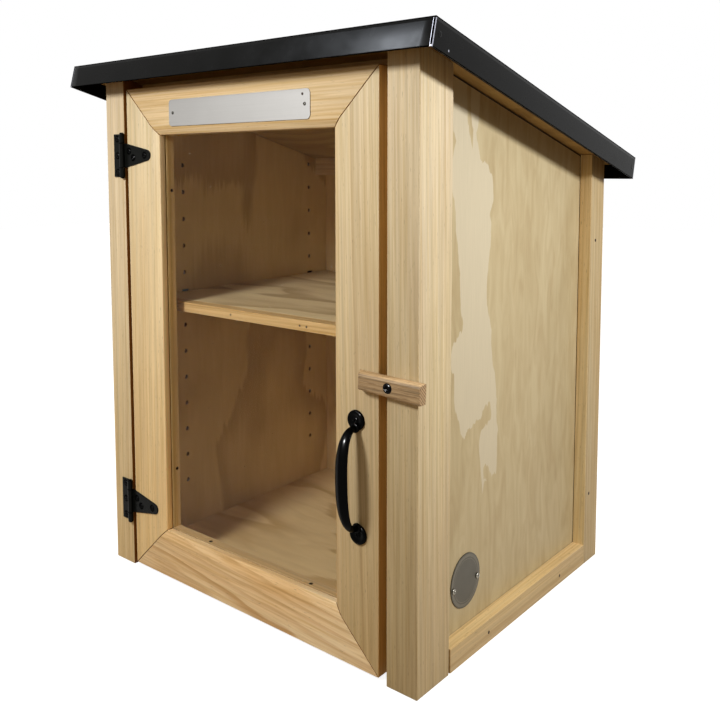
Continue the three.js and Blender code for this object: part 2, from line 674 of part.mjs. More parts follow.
// Turn button: a bar with rounded front edges and a sloped nose, on one screw in the right post
function addLatch() {
  const button = new THREE.Group();
  button.position.set(latchX, 0, LATCH_RISE);
  button.rotation.y = LATCH_TILT * RADIAN;
  cabinet.add(button);

  const half = LATCH_HEIGHT / 2;
  const roundCorner = (end) => Array.from({ length: ROUND_STEPS + 1 }, (_, k) => {
    const angle = k / ROUND_STEPS * Math.PI / 2;
    const z = end - Math.sign(end) * LATCH_ROUND * (1 - Math.cos(angle));
    return [-LATCH_THICKNESS + LATCH_ROUND * (1 - Math.sin(angle)), z];
  });
  const back = -RUNNING_GAP;
  const section = (x, top, foot) => {
    const ring = [[back, top], ...roundCorner(top), ...roundCorner(foot).reverse(), [back, foot]];
    return ring.flatMap(([y, z]) => [x, y, z]);
  };
  const nose = section(-LATCH_NOSE, half - LATCH_NOSE_TOP_TAPER, LATCH_NOSE_FOOT_TAPER - half);
  const bar = ringTube([...nose, ...section(LATCH_TAIL, half, -half)], nose.length / 3);
  const noseFront = LATCH_NOSE_SLOPE - LATCH_NOSE;
  const plan = [
    [-LATCH_NOSE, back], [noseFront, -LATCH_THICKNESS],
    [LATCH_TAIL, -LATCH_THICKNESS], [LATCH_TAIL, back],
  ];
  const blank = prismZ(plan, [-LATCH_HEIGHT, LATCH_HEIGHT]);
  const boreRadius = LATCH_SCREW.shank + RUNNING_GAP;
  const bore = rodY(boreRadius, [-LATCH_THICKNESS - OVERRUN, OVERRUN], [0, 0], SCREW_SIDES);
  add('turn_latch', cut(common(bar, blank), [bore]), 'oak', button);
  add('latch_screw', screwY(LATCH_SCREW, [latchX, LATCH_RISE], -LATCH_THICKNESS), 'blackIron');
}

// Bare plate on the top rail and bare medallion on the right side panel
function addPlate() {
  const blank = prismY(roundedRectangle(PLATE_LENGTH, PLATE_HEIGHT, PLATE_ROUND), [plateSeat, doorFront]);
  const pilots = plateScrewPlaces.map((place) => pilotY(PLATE_SCREW, place, plateSeat));
  add('name_plate', cut(blank.translate(plateX, 0, plateZ), pilots), 'aluminium');
  plateScrewPlaces.forEach((place, k) => {
    add(`plate_screw_${k + 1}`, screwY(PLATE_SCREW, place, plateSeat), 'steel');
  });
}

function addMedallion() {
  const xs = [panelOuter, panelOuter + MEDALLION_THICKNESS];
  const disc = rodX(MEDALLION_RADIUS, xs, [medallionY, MEDALLION_RISE], MEDALLION_SIDES);
  add('medallion', cut(disc, medallionScrewPlaces.map(medallionPilot)), 'greyMetal');
  medallionScrewPlaces.forEach((place, k) => {
    add(`medallion_screw_${k + 1}`, screwX(MEDALLION_SCREW, place, xs[1]), 'steel');
  });
}

// Shelf: a board with a solid front lipping, on four angle pins in one row of holes
function addShelf() {
  const boardFront = FRONT_POST_SIDE + SHELF_POST_GAP;
  const boardHalf = panelInner - PIN_PLATE - SHELF_END_GAP;
  const lippingHalf = postInner - SHELF_POST_GAP;
  const zs = [shelfUnder, shelfTop];
  add('shelf_board', box([-boardHalf, boardHalf], [boardFront, backFront - SHELF_POST_GAP], zs), 'plywood');
  add('shelf_lipping', box([-lippingHalf, lippingHalf], [doorBack + SHELF_DOOR_GAP, boardFront], zs), 'pine');
}

function addShelfPins() {
  const rows = [['front', holeColumns[0]], ['rear', holeColumns[1]]];
  for (const [name, side] of SIDES) {
    for (const [row, y] of rows) {
      const ys = [y - PIN_WIDTH / 2, y + PIN_WIDTH / 2];
      const foot = shelfUnder - PIN_PLATE;
      const plate = box(span(side, panelInner - PIN_PLATE, panelInner), ys, [foot, shelfTop + PIN_LIP]);
      const ledge = box(span(side, panelInner - PIN_LEDGE, panelInner), ys, [foot, shelfUnder]);
      const pegXs = span(side, panelInner - PIN_PLATE / 2, panelInner + HOLE_DEPTH - SEAT_GAP);
      const peg = rodX(HOLE_RADIUS - SEAT_GAP, pegXs, [y, pinZ], HOLE_SIDES);
      add(`shelf_pin_${row}_${name}`, join(plate, ledge, peg), 'blackIron');
    }
  }
}

addPosts();
addRails();
addSidePanels();
addInnerBoards();
addRoof();
addDoorFrame();
addPane();
addHinges();
addPull();
addLatch();
addPlate();
addMedallion();
addShelf();
addShelfPins();

export default part;
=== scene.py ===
# %% [markdown]
# # A street book exchange box, dressed for its portrait
# The cabinet comes in as a fixed frame of plain solids, in metres, each board, screw and sheet under its
# own name. Blender adds what a solid can't say: how each board was sawn, how each edge was eased, how the
# paint and the metal answer the light. Nothing that is loaded here is moved.

# %% Load the frame
import json
import math
from functools import partial

import bpy
import numpy as np
from mathutils import Matrix, Vector

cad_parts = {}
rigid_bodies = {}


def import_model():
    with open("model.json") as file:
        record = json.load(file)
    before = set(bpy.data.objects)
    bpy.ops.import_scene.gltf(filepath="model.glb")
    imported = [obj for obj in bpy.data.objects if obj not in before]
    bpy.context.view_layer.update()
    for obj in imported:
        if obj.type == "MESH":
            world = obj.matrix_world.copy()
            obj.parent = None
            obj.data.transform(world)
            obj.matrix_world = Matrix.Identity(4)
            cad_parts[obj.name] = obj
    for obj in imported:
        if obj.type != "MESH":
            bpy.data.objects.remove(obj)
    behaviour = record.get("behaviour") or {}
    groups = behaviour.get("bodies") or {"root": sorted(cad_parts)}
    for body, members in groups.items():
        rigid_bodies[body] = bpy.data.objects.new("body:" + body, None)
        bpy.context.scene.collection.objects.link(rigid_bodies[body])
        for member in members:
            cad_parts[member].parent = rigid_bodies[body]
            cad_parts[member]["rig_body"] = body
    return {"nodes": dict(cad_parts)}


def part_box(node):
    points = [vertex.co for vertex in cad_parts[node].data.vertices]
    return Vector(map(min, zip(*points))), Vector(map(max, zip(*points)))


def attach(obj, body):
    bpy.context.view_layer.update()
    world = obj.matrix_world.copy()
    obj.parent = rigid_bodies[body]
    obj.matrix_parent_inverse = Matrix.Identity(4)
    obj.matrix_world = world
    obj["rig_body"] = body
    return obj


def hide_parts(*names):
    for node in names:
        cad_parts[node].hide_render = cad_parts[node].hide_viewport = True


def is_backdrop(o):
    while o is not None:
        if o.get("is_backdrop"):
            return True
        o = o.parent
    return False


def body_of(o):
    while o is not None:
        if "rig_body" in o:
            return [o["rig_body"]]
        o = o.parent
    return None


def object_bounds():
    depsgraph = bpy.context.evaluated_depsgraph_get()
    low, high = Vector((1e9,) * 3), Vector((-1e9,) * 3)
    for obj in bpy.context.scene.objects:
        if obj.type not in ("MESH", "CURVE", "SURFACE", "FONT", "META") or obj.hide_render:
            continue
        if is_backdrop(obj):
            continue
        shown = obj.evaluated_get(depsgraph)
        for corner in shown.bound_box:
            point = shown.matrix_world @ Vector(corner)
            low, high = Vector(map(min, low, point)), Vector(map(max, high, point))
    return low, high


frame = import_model()
cad_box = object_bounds()
nodes = frame["nodes"]
slots = {part: solid.data.materials[0].name for part, solid in nodes.items()}

# %% [markdown]
# ## The camera
# A photograph is a straight-line projection, so the edges of the cabinet tell where the camera stood: about
# 1.1 m off the front right post, a little under the roof's height. The shift says that the picture's
# middle isn't the lens's own middle, as in a picture that was cropped after it was taken. We write the
# camera's three axes straight into a matrix instead of aiming it, so that even its small roll is kept.

# %% Place the camera
def placed(name, data):
    """A new object with that data, in the scene."""
    thing = bpy.data.objects.new(name, data)
    bpy.context.scene.collection.objects.link(thing)
    return thing


YAW, PITCH, ROLL = math.radians(42.222), math.radians(-4.952), math.radians(-0.457)
ahead = Vector((-math.sin(YAW) * math.cos(PITCH), math.cos(YAW) * math.cos(PITCH), math.sin(PITCH)))
level = Vector((math.cos(YAW), math.sin(YAW), 0))
upright = level.cross(ahead)
right = math.cos(ROLL) * level + math.sin(ROLL) * upright
up = math.cos(ROLL) * upright - math.sin(ROLL) * level
lens = bpy.data.cameras.new("portrait_lens")
lens.sensor_width, lens.lens = 36.0, 43.175
lens.shift_x, lens.shift_y = 0.0975, -0.1686
camera = placed("portrait_camera", lens)
turn = Matrix((right, up, -ahead)).transposed()
camera.matrix_world = Matrix.Translation((0.71178, -0.90854, 0.54151)) @ turn.to_4x4()
bpy.context.scene.camera = camera
print("camera at", [round(v, 3) for v in camera.location])

# %% [markdown]
# ## Helpers for materials
# A material is a small graph. One helper puts a node into it with its settings and its links, and another
# turns a colour as we read it off a paint card (sRGB hex) into the linear light values that a renderer
# counts in. Wood, dust and scratches are all one pattern at different sizes: noise that is drawn out along
# one axis. So that pattern is a function too.

# %% Helpers for materials
def linear(card):
    """A colour as it is written on a card, #rrggbb, as linear red, green, blue and a one for alpha."""
    shown = np.array([int(card[i:i + 2], 16) for i in (1, 3, 5)]) / 255
    light = np.where(shown <= 0.04045, shown / 12.92, ((shown + 0.055) / 1.055) ** 2.4)
    return (*map(float, light), 1.0)


MODES = {"Math": "operation", "VectorMath": "operation", "Mix": "data_type", "MapRange": "interpolation_type"}


def add_node(tree, kind, *values, **settings):
    """One node of a kind, such as "Math ADD", with its settings. The values go to its sockets in order, or a
    dict names the sockets. A value is a number, a colour as on a card, a node or a node's output."""
    kind, _, mode = kind.partition(" ")
    made = tree.nodes.new("ShaderNode" + kind)
    if mode:
        settings[MODES[kind]] = mode
    for key, value in settings.items():
        setattr(made, key, value)
    named = values[0] if values and isinstance(values[0], dict) else dict(enumerate(values))
    for socket, value in named.items():
        if isinstance(value, bpy.types.Node):
            value = next(output for output in value.outputs if output.enabled)
        if isinstance(value, bpy.types.NodeSocket):
            tree.links.new(value, made.inputs[socket])
        else:
            made.inputs[socket].default_value = linear(value) if isinstance(value, str) else value
    return made


def blank(name):
    """A new material with an empty graph, the helper that adds a node to it, and a point's place in metres
    and its normal."""
    material = bpy.data.materials.new(name)
    material.use_nodes = True
    material.node_tree.nodes.clear()
    add = partial(add_node, material.node_tree)
    point = add("TexCoord").outputs
    return material, add, point["Object"], point["Normal"]


def drawn_out(add, place, cells, shift=(0, 0, 0), detail=2.0, rough=0.5, **bend):
    """Noise of place * cells + shift, where cells counts its grains in a metre along each axis. The fewer
    there are along an axis, the more the noise is drawn out that way."""
    scaled = add("Mapping", {"Vector": place, "Scale": cells, "Location": shift})
    return add("TexNoise", {"Vector": scaled, "Scale": 1.0, "Detail": detail, "Roughness": rough, **bend})


def chain(add, kind, value, *others):
    """The value joined to each of the others in turn: a sum, a product or the largest of them."""
    for other in others:
        value = add(kind, value, other)
    return value


print("white card reads", linear("#ffffff")[:3])

# %% [markdown]
# ## Where boards meet, and how faces differ
# A thin dark line lies where a board runs into its neighbour, and on the roof board a wider dark strip near
# each side is painted shade under the flange. Each face of a board can have a tint of its own: painted light
# and shade, for how the lamps fall on that face.

# %% Joints and faces
EVEN = ((1, 1, 1), (1, 1, 1), (1, 1, 1))


def seamed(add, place, colour, seams, dark):
    """The colour, but dark within half a width of each plane. A seam is (normal, distance, half width) in
    metres, where a board runs into its neighbour, or where a strip of painted shade lies."""
    for plane, distance, half in seams:
        off = add("VectorMath DOT_PRODUCT", place, plane)
        near = add("Math COMPARE", off, distance, half)
        colour = add("Mix RGBA", {0: near, 6: colour, 7: dark})
    return colour


def painted_face_light(add, normal, faces):
    """Sum over the axes of (normal's part along the axis) squared times the tint of that axis: painted light
    and shade for each face direction.
    """
    square = add("VectorMath MULTIPLY", normal, normal)
    parts = [add("VectorMath DOT_PRODUCT", square, channel) for channel in zip(*faces)]
    return add("CombineXYZ", dict(enumerate(parts)))


def mitre(outer, inner):
    """The plane of a mitre that runs from an outer to an inner corner of the door, as a seam."""
    run = Vector((inner[0] - outer[0], 0, inner[1] - outer[1])) / 1000
    plane = Vector((-run.z, 0, run.x)).normalized()
    return tuple(plane), plane.x * outer[0] / 1000 + plane.z * outer[1] / 1000, 0.0005


TOP_LEFT, FOOT_LEFT = mitre((-205.5, 638.7), (-145.5, 579)), mitre((-205.5, 4.2), (-145.5, 64))
TOP_RIGHT, FOOT_RIGHT = mitre((199.5, 638.7), (139.5, 579)), mitre((199.5, 4.2), (139.5, 64))
print("door mitres lie", [round(seam[1] * 1000) for seam in (TOP_LEFT, FOOT_LEFT, TOP_RIGHT, FOOT_RIGHT)],
      "mm off the origin")

# %% [markdown]
# ## Sawn pine
# A tree lays down one ring a year: a broad pale band in spring, then a thin dark one that stops short at
# winter. A board is a slice of that log. So the grain here isn't drawn on a face: each board is told where
# the heart of its log lay and how it leant, and the colour of a point is its distance from that heart. The
# streaks on the faces, the flames where a face runs along a ring and the arcs on the end grain then all
# belong together, as on real timber. Fibres are fine noise, drawn out along the log.

# %% Rings of a log
def log_rings(add, place, heart, lean, ring, sway, *noise):
    """The log's frame, with its Z along the heart, the count of rings and the place in a ring, 0 to 1.
    Count = (distance from the heart + sway * slow noise) over the ring's width."""
    log = add("Mapping", {"Vector": place, "Location": heart, "Rotation": lean}, vector_type="TEXTURE")
    bend = drawn_out(add, log, *noise)
    across = add("VectorMath MULTIPLY", log, (1, 1, 0))
    reach = add("Math MULTIPLY_ADD", bend, sway, add("VectorMath LENGTH", across))
    years = add("Math DIVIDE", reach, ring)
    return log, years, add("Math FRACT", years)


def summer_wood(add, season, first, last, *factors):
    """Darkness in a ring: it rises from first to last, drops to nothing at the ring's end, times factors."""
    dark = add("MapRange SMOOTHSTEP", season, first, last)
    return chain(add, "Math MULTIPLY", dark, add("MapRange", season, last, 1.0, 1.0, 0.0), *factors)


def planed(add, colour, rough, bump, shine=0.3):
    """The surface of planed wood: a low sheen over its colour."""
    shader = add("BsdfPrincipled", {"Base Color": colour, "Roughness": rough, "Normal": bump, "IOR": 1.48,
                                    "Specular IOR Level": shine})
    add("OutputMaterial", {"Surface": shader})


print("log, summer wood and sheen are ready for every wood")

# %% Sawn pine
pine = []


def saw(part, heart, lean, ring, early, late, contrast, sway=0.010, tint="#d2b486", drift=0.5, streak=0.35,
        width=0.0036, foot=(1, 1, 1), head=(1, 1, 1), faces=EVEN, lines=1.0, seams=(), seed=0.0):
    """Knot-free pine, planed and clear coated: pale spring wood, darker summer wood, a low sheen. Foot and
    head tint the ends of an upright board: painted light and shade, for how much lamp light reaches its lower
    and its upper end. Faces are three tints of painted light and shade, for the faces that look along X, Y
    and Z."""
    material, add, place, normal = blank("pine_" + part)
    slow = (16, 16, 3), (seed, seed, seed), 3.0, 0.55
    log, years, season = log_rings(add, place, heart, lean, ring, sway, *slow)
    weather = add("TexWhiteNoise", {"W": add("Math FLOOR", years)}, noise_dimensions="1D")
    strength = add("Math POWER", weather, 1.6)
    dark = summer_wood(add, season, 0.2, 0.9, strength, contrast)
    wander = drawn_out(add, log, (22, 22, 4), (seed, 3, 7))
    share = add("MapRange", wander, 0.35, 0.68, 0.0, drift)
    ground = add("Mix RGBA", {0: share, 6: early, 7: tint})
    tone = add("Mix RGBA", {0: dark, 6: ground, 7: late})
    # Streaks of the given width, a few hundred millimetres long
    band = drawn_out(add, log, (1 / width, 1 / width, 2.5), (seed, 0, seed), 4.0, 0.6)
    shade = add("MapRange", band, 0.3, 0.7, 1.0 + 0.22 * streak, 1.0 - 0.42 * streak)
    fibre = drawn_out(add, log, (1100, 1100, 28), (0, seed, 0), 2.0, 0.6)
    hairs = add("MapRange", fibre, 0.3, 0.75, 1.04, 0.93)
    # Resin canals: dark flecks 0.4 mm wide and 4 mm long
    duct = drawn_out(add, log, (1300, 1300, 110), (9, seed, 4), 1.0)
    fleck = add("MapRange", duct, 0.69, 0.76, 1.0, 0.66)
    shade = chain(add, "Math MULTIPLY", shade, hairs, fleck)
    # Threads 2 mm wide, darker and warmer than the ground
    thread = drawn_out(add, log, (420, 420, 5), (seed, 5, 0), 2.0, 0.6)
    depth = add("MapRange", thread, 0.42, 0.68)
    thin = (1 - 0.10 * lines, 1 - 0.15 * lines, 1 - 0.26 * lines)
    warm = add("Mix VECTOR", {0: depth, 4: (1.04, 1.04, 1.05), 5: thin})
    # Painted light and shade: the colour is tinted from foot to head for how the lamp light falls off with
    # height
    height = add("SeparateXYZ", place).outputs["Z"]
    share = add("MapRange", height, 0.0, 0.64)
    painted_height_light = add("Mix VECTOR", {0: share, 4: foot, 5: head})
    # Painted light and shade: each face direction gets its own tint
    faces = painted_face_light(add, normal, faces)
    colour = chain(add, "VectorMath MULTIPLY", tone, shade, warm, painted_height_light, faces)
    colour = seamed(add, place, colour, seams, "#83531f")
    gloss = add("MapRange", {0: fibre, 3: 0.44, 4: 0.62})
    relief = add("Math MULTIPLY_ADD", fibre, dark, 0.5)
    bump = add("Bump", {"Height": relief, "Strength": 0.12, "Distance": 0.0004})
    planed(add, colour, gloss, bump, 0.2)
    nodes[part].data.materials[0] = material
    pine.append(part)


print("a board has rings, streaks, threads, ducts and fibres")

# %% [markdown]
# ## The boards
# Each board gets a log: the heart and the lean, the ring's width, the colours of spring and summer wood and
# how strongly they differ. What follows by name is its own: a head, a foot and faces tinted as painted light
# and shade, an orange side face painted for the light in a gap, a mitre.

# %% Posts and outer rails
UPRIGHT, FLAT, DEEP = (0.0, 0.0, 0.0), (0.0, math.pi / 2, 0.0), (math.pi / 2, 0.0, 0.0)
# The foot, head and faces tints of these boards are painted light and shade, such as the lit ledge of the
# right rail and the lit front strip of the rear right post; the dark seam on the left post's right face is
# painted shade in the gap to the door
saw("front_left_post", (-0.42, -0.02, 0.3), (0.01, 0.006, 0), 0.0075, "#e9d2a6", "#c7a36c", 0.4, width=0.006,
    foot=(1.04, 1.04, 0.98), head=(0.89, 0.95, 1.12), seams=[((1, 0, 0), -0.2100, 0.0006)], seed=2.1)
saw("front_right_post", (0.11, -0.35, 0.2), (0.012, -0.01, 0), 0.0055, "#cfb587", "#a98757", 0.42,
    tint="#bfa27b", foot=(0.80, 0.85, 0.86), head=(1.22, 1.39, 1.70),
    faces=((1.05, 1.05, 1.04), (0.94, 0.93, 0.92), (1, 1, 1)), seed=5.7)
saw("rear_left_post", (-0.05, 0.35, 0), (0.01, 0.01, 0), 0.006, "#e2cb9d", "#b98f56", 0.45, seed=8.2)
saw("rear_right_post", (0.24, 0.14, 0), (0.012, 0.015, 0), 0.0085, "#c4a877", "#a27a45", 0.55,
    tint="#cab993", faces=((0.93, 0.97, 1), (1.6, 1.75, 1.9), (1, 1, 1)), seed=9.4)
saw("left_lower_rail", (-0.3, 0, -0.1), DEEP, 0.005, "#dfc391", "#b98d52", 0.5, seed=1.4)
saw("right_lower_rail", (0.28, 0.0, -0.09), DEEP, 0.0055, "#e0c58f", "#b78a50", 0.5,
    faces=((0.82, 0.82, 0.82), (1, 1, 1), (1.2, 1.2, 1.2)), seed=4.6)
print("outer boards:", ", ".join(pine))

# %% Door, inner boards and beads
# Here too the foot, head and faces tints are painted light and shade: the lit inner face of the left stile,
# the warm side face of the right stile in its gap, the lit top of the bottom rail, and the shaded head of the
# left bead under the top rail
saw("door_left_stile", (-0.33, 0.02, 0.3), (0.004, 0.010, 0), 0.0105, "#ecd4a6", "#c9a56c", 0.42, width=0.006,
    foot=(1.24, 1.2, 1.06), head=(0.87, 0.95, 1.09), faces=((1.4, 1.35, 1.3), (1, 1, 1), (1, 1, 1)),
    seams=(TOP_LEFT, FOOT_LEFT), seed=3.3)
saw("door_right_stile", (0.335, -0.05, 0.3), (0.004, -0.022, 0), 0.0062, "#d8bd8a", "#aa8450", 0.5,
    foot=(0.84, 0.86, 0.88), head=(1.01, 1.13, 1.42), faces=((1.25, 0.96, 0.56), (1, 1, 1), (1, 1, 1)),
    seams=(TOP_RIGHT, FOOT_RIGHT), seed=6.1)
saw("door_top_rail", (0, -0.12, 0.42), (0, math.pi / 2 - 0.006, 0), 0.0075, "#d3bb91", "#b08a56", 0.35,
    streak=0.2, lines=2.0, seams=(TOP_LEFT, TOP_RIGHT), seed=7.7)
saw("door_bottom_rail", (0, -0.178, 0.006), (0.0, math.pi / 2 + 0.035, 0.03), 0.0066, "#fbe6bd", "#c99d63",
    0.9, sway=0.020, tint="#eec68c", drift=0.8, streak=0.12, lines=1.3,
    faces=((1, 1, 1), (1, 0.98, 0.95), (1.15, 1.18, 1.2)), seams=(FOOT_LEFT, FOOT_RIGHT), seed=0.6)
saw("front_header", (0, 0.1, 0.8), FLAT, 0.006, "#dfbc82", "#af824c", 0.5, seed=2.9)
saw("rear_cleat", (0, 0.3, 0.4), FLAT, 0.006, "#efd3ab", "#bd9c6c", 0.5, seed=3.9)
saw("shelf_lipping", (0, -0.3, 0.2), (0, math.pi / 2 - 0.01, 0), 0.005, "#d3b07a", "#a97c42", 0.7, lines=2.2,
    seed=5.1)
saw("bead_left", (-0.3, -0.1, 0.2), UPRIGHT, 0.006, "#fbdca0", "#d5a86a", 0.5, head=(0.78, 0.74, 0.68),
    seed=1.9)
saw("bead_right", (0.3, -0.1, 0.2), UPRIGHT, 0.006, "#fbdca0", "#d5a86a", 0.5, seed=2.6)
saw("bead_top", (0, -0.1, 0.7), FLAT, 0.006, "#d4b177", "#a87d45", 0.5, seed=3.1)
saw("bead_bottom", (0, -0.1, -0.1), FLAT, 0.006, "#d9b98a", "#b08855", 0.4, seed=4.4)
print(len(pine), "boards of pine")

# %% [markdown]
# ## The pale sapwood on the right panel
# On the side that faces us the veneer holds a tall cream island, the sapwood, with torn edges. Two curves
# give its front and its rear edge at each height, as one would trace it with a finger, and the ragged noise
# of the sheet moves the point up and down before it is compared with them, so that the ends fray along the
# grain. A lobe below, a notch at the top and a fork at the foot are traced in the same way and then joined
# to it or cut out of it.

# %% Pale sapwood on the right panel
# The y of the front and the heights of the island's top and foot, in metres. Then the traced points:
# thousandths of the way down, and millimetres behind the front.
FRONT, ISLAND_TOP, ISLAND_FOOT = -0.210707, 0.660, 0.165
MAIN_FRONT = [(0, 85), (93, 86), (151, 85), (171, 86), (188, 90), (196, 92), (213, 88), (228, 86), (245, 83),
              (276, 83), (301, 85), (316, 89), (346, 92), (386, 93), (413, 97), (456, 99), (480, 102),
              (507, 102), (561, 104), (585, 109), (605, 108), (615, 99), (630, 88), (653, 85), (685, 86),
              (696, 92), (732, 92), (755, 92), (782, 96), (810, 103), (832, 106), (845, 113), (1000, 120)]
MAIN_REAR = [(0, 140), (87, 140), (147, 138), (165, 136), (176, 133), (191, 134), (208, 138), (228, 141),
             (238, 146), (240, 155), (248, 159), (259, 162), (266, 169), (326, 172), (353, 164), (372, 167),
             (418, 167), (469, 162), (520, 159), (562, 160), (587, 165), (622, 171), (660, 171), (694, 174),
             (730, 180), (766, 184), (788, 184), (789, 167), (791, 158), (800, 153), (812, 152), (823, 147),
             (824, 134), (833, 128), (837, 117), (845, 113), (1000, 100)]
LOBE_FRONT = [(0, 200), (782, 200), (783, 169), (804, 171), (814, 173), (824, 173), (832, 170), (835, 163),
              (838, 158), (841, 154), (846, 150), (859, 148), (874, 146), (895, 146), (920, 149), (939, 150),
              (964, 152), (996, 155), (1000, 160)]
LOBE_REAR = [(0, 60), (778, 60), (779, 185), (809, 184), (834, 185), (851, 188), (859, 189), (875, 187),
             (936, 187), (966, 185), (967, 158), (968, 158), (996, 155), (1000, 150)]
FORK_FRONT = [(0, 200), (927, 200), (928, 161), (931, 157), (942, 156), (960, 157), (1000, 200)]
FORK_REAR = [(0, 60), (928, 60), (929, 162), (941, 167), (952, 169), (959, 171), (972, 179), (1000, 60)]
NOTCH_FRONT = [(0, 112), (90, 113), (138, 114), (159, 115), (181, 120), (193, 122), (206, 125), (1000, 200)]
NOTCH_REAR = [(0, 120), (89, 121), (134, 121), (170, 126), (191, 126), (206, 125), (1000, 60)]


def between(add, down, across, front, rear):
    """1 where front(down) < across < rear(down). The curve's 0 to 1 stands for 250 mm."""
    inside = []
    for edge, first, last in ((front, -0.0007, 0.0007), (rear, 0.0007, -0.0007)):
        curve = add("FloatCurve", {"Value": down})
        points = curve.mapping.curves[0].points
        while len(points) < len(edge):
            points.new(0.5, 0.5)
        for point, (share, mm) in zip(points, edge):
            point.location, point.handle_type = (share / 1000, mm / 250), "VECTOR"
        curve.mapping.update()
        line = add("Math MULTIPLY_ADD", curve, 0.250, FRONT)
        apart = add("Math SUBTRACT", across, line)
        inside.append(add("MapRange", apart, first, last))
    return add("Math MULTIPLY", inside[0], inside[1])


def sapwood(add, place, tooth, face):
    """The cream island: its main part without the notch, or the lobe, and neither in the fork. Heights are
    read off after the ragged shift."""
    split = add("SeparateXYZ", place)
    ragged = add("MapRange", {0: tooth, 3: -0.008, 4: 0.008})
    level = add("Math ADD", split.outputs["Z"], ragged)
    down = add("MapRange", level, ISLAND_TOP, ISLAND_FOOT)
    wobble = add("TexNoise", {"Vector": place, "Scale": 90.0, "Detail": 4.0})
    y = add("Math MULTIPLY_ADD", wobble, 0.003, split.outputs["Y"])
    main, lobe, fork, notch = (between(add, down, y, *edges) for edges in (
        (MAIN_FRONT, MAIN_REAR), (LOBE_FRONT, LOBE_REAR), (FORK_FRONT, FORK_REAR), (NOTCH_FRONT, NOTCH_REAR)))
    pale = add("Math SUBTRACT", main, notch)
    pale = add("Math MAXIMUM", pale, lobe)
    pale = add("Math SUBTRACT", pale, fork, use_clamp=True)
    return add("Mix RGBA", {0: pale, 6: face, 7: "#c7ba9a"})


print("the island's edges have", len(MAIN_FRONT) + len(MAIN_REAR), "traced points")

# %% [markdown]
# ## Peeled plywood
# The sheets are plywood, and its face veneer is peeled off a turning log like paper off a roll. The knife
# keeps crossing the same rings, so the figure is wide and wandering, like the lines on a map. A noise
# field stands for the height of the land, and the rings are its contour lines. The grain makes their edges
# ragged along its own direction. On the edges of a sheet the plies show as thin stripes.

# %% Peeled plywood
ply = []


def peel(part, grain, skin, ground, figure, contours, contrast, seed, zone=None, veil=0.5, span=(6.5, 2.4),
         seams=()):
    """Pine plywood with a peeled face. Grain and skin are the axes of the fibres and of the thickness.
    Figure = the part after the point of (noise over a few hundred millimetres times the contours), shifted
    along the grain by fine noise across it, which makes its edges ragged. A veil of soft streaks lies over
    it, and a zone lays a second wood on the face."""
    material, add, place, normal = blank("ply_" + part)
    grain, skin = "xyz".index(grain), "xyz".index(skin)

    def cells(across, along, through=None):
        """Grains of noise in a metre across the fibres, along them, and through the sheet."""
        count = [across] * 3
        count[grain], count[skin] = along, through or across
        return count

    tooth = drawn_out(add, place, cells(230.0, 2.0), (seed, seed, seed), 2.0, 0.7)
    along = tuple(0.05 if axis == grain else 0.0 for axis in range(3))
    shift = add("VectorMath MULTIPLY", tooth, along)
    torn = add("VectorMath ADD", place, shift)
    height = drawn_out(add, torn, cells(*span, 0.3), (seed, 0, -seed), 2.5, 0.45)
    years = add("Math MULTIPLY", height, contours)
    dark = summer_wood(add, add("Math FRACT", years), 0.3, 0.93, contrast)
    face = add("Mix RGBA", {0: dark, 6: ground, 7: figure})
    # Streaks 15 mm wide and 70 mm long
    streak = drawn_out(add, place, cells(65.0, 14.0), (seed, seed, 0), 3.0, Distortion=1.0)
    depth = add("MapRange", streak, 0.35, 0.68, 0.0, veil)
    wash = add("Mix VECTOR", {0: depth, 4: (1.06, 1.07, 1.06), 5: (0.85, 0.79, 0.70)})
    face = add("VectorMath MULTIPLY", face, wash)
    if zone:
        face = zone(add, place, tooth, face)
    fibre = drawn_out(add, place, cells(900.0, 22.0), detail=3.0, rough=0.65)
    hairs = add("MapRange", fibre, 0.3, 0.75, 1.035, 0.94)
    face = add("VectorMath MULTIPLY", face, hairs)
    flat = add("Math ABSOLUTE", add("SeparateXYZ", normal).outputs[skin])
    is_edge = add("Math LESS_THAN", flat, 0.6)
    # Plies 1.6 mm thick
    depth = add("SeparateXYZ", place).outputs[skin]
    stack = add("Math DIVIDE", depth, 0.0016)
    wave = add("Math PINGPONG", stack, 2.0, 0.0)
    stripe = add("MapRange SMOOTHSTEP", wave, 0.8, 1.2)
    layers = add("Mix RGBA", {0: stripe, 6: "#c9a873", 7: "#94703f"})
    colour = add("Mix RGBA", {0: is_edge, 6: face, 7: layers})
    colour = seamed(add, place, colour, seams, "#1d1005")
    bump = add("Bump", {"Height": fibre, "Strength": 0.12, "Distance": 0.0003})
    planed(add, colour, 0.55, bump)
    nodes[part].data.materials[0] = material
    ply.append(part)


SLOPE = math.radians(14.755)
SHEET_UP = Vector((0, math.sin(SLOPE), math.cos(SLOPE)))
panel_top = max(SHEET_UP @ corner.co for corner in nodes["right_side_panel"].data.vertices)
# The dark line along the right panel's top is partly the joint to the roof and partly painted shade under the
# flange; the one at its rear is the joint to the post
peel("right_side_panel", "z", "x", "#b9a881", "#a9966d", 4.0, 0.35, 3.2, sapwood, 0.75,
     seams=[(tuple(SHEET_UP), panel_top, 0.0018), ((0, 1, 0), 0.1868, 0.0005)])
peel("left_side_panel", "z", "x", "#e2c68d", "#b48f5a", 4.2, 0.6, 7.9, veil=0.25, span=(5.0, 3.4))
peel("back_panel", "z", "y", "#e8ca96", "#d0ae7a", 4.0, 0.25, 1.7)
peel("floor_panel", "x", "z", "#e9cd9a", "#c9a46c", 6.0, 0.8, 5.3)
peel("shelf_board", "x", "z", "#d8c299", "#ae9167", 6.5, 0.9, 2.4)
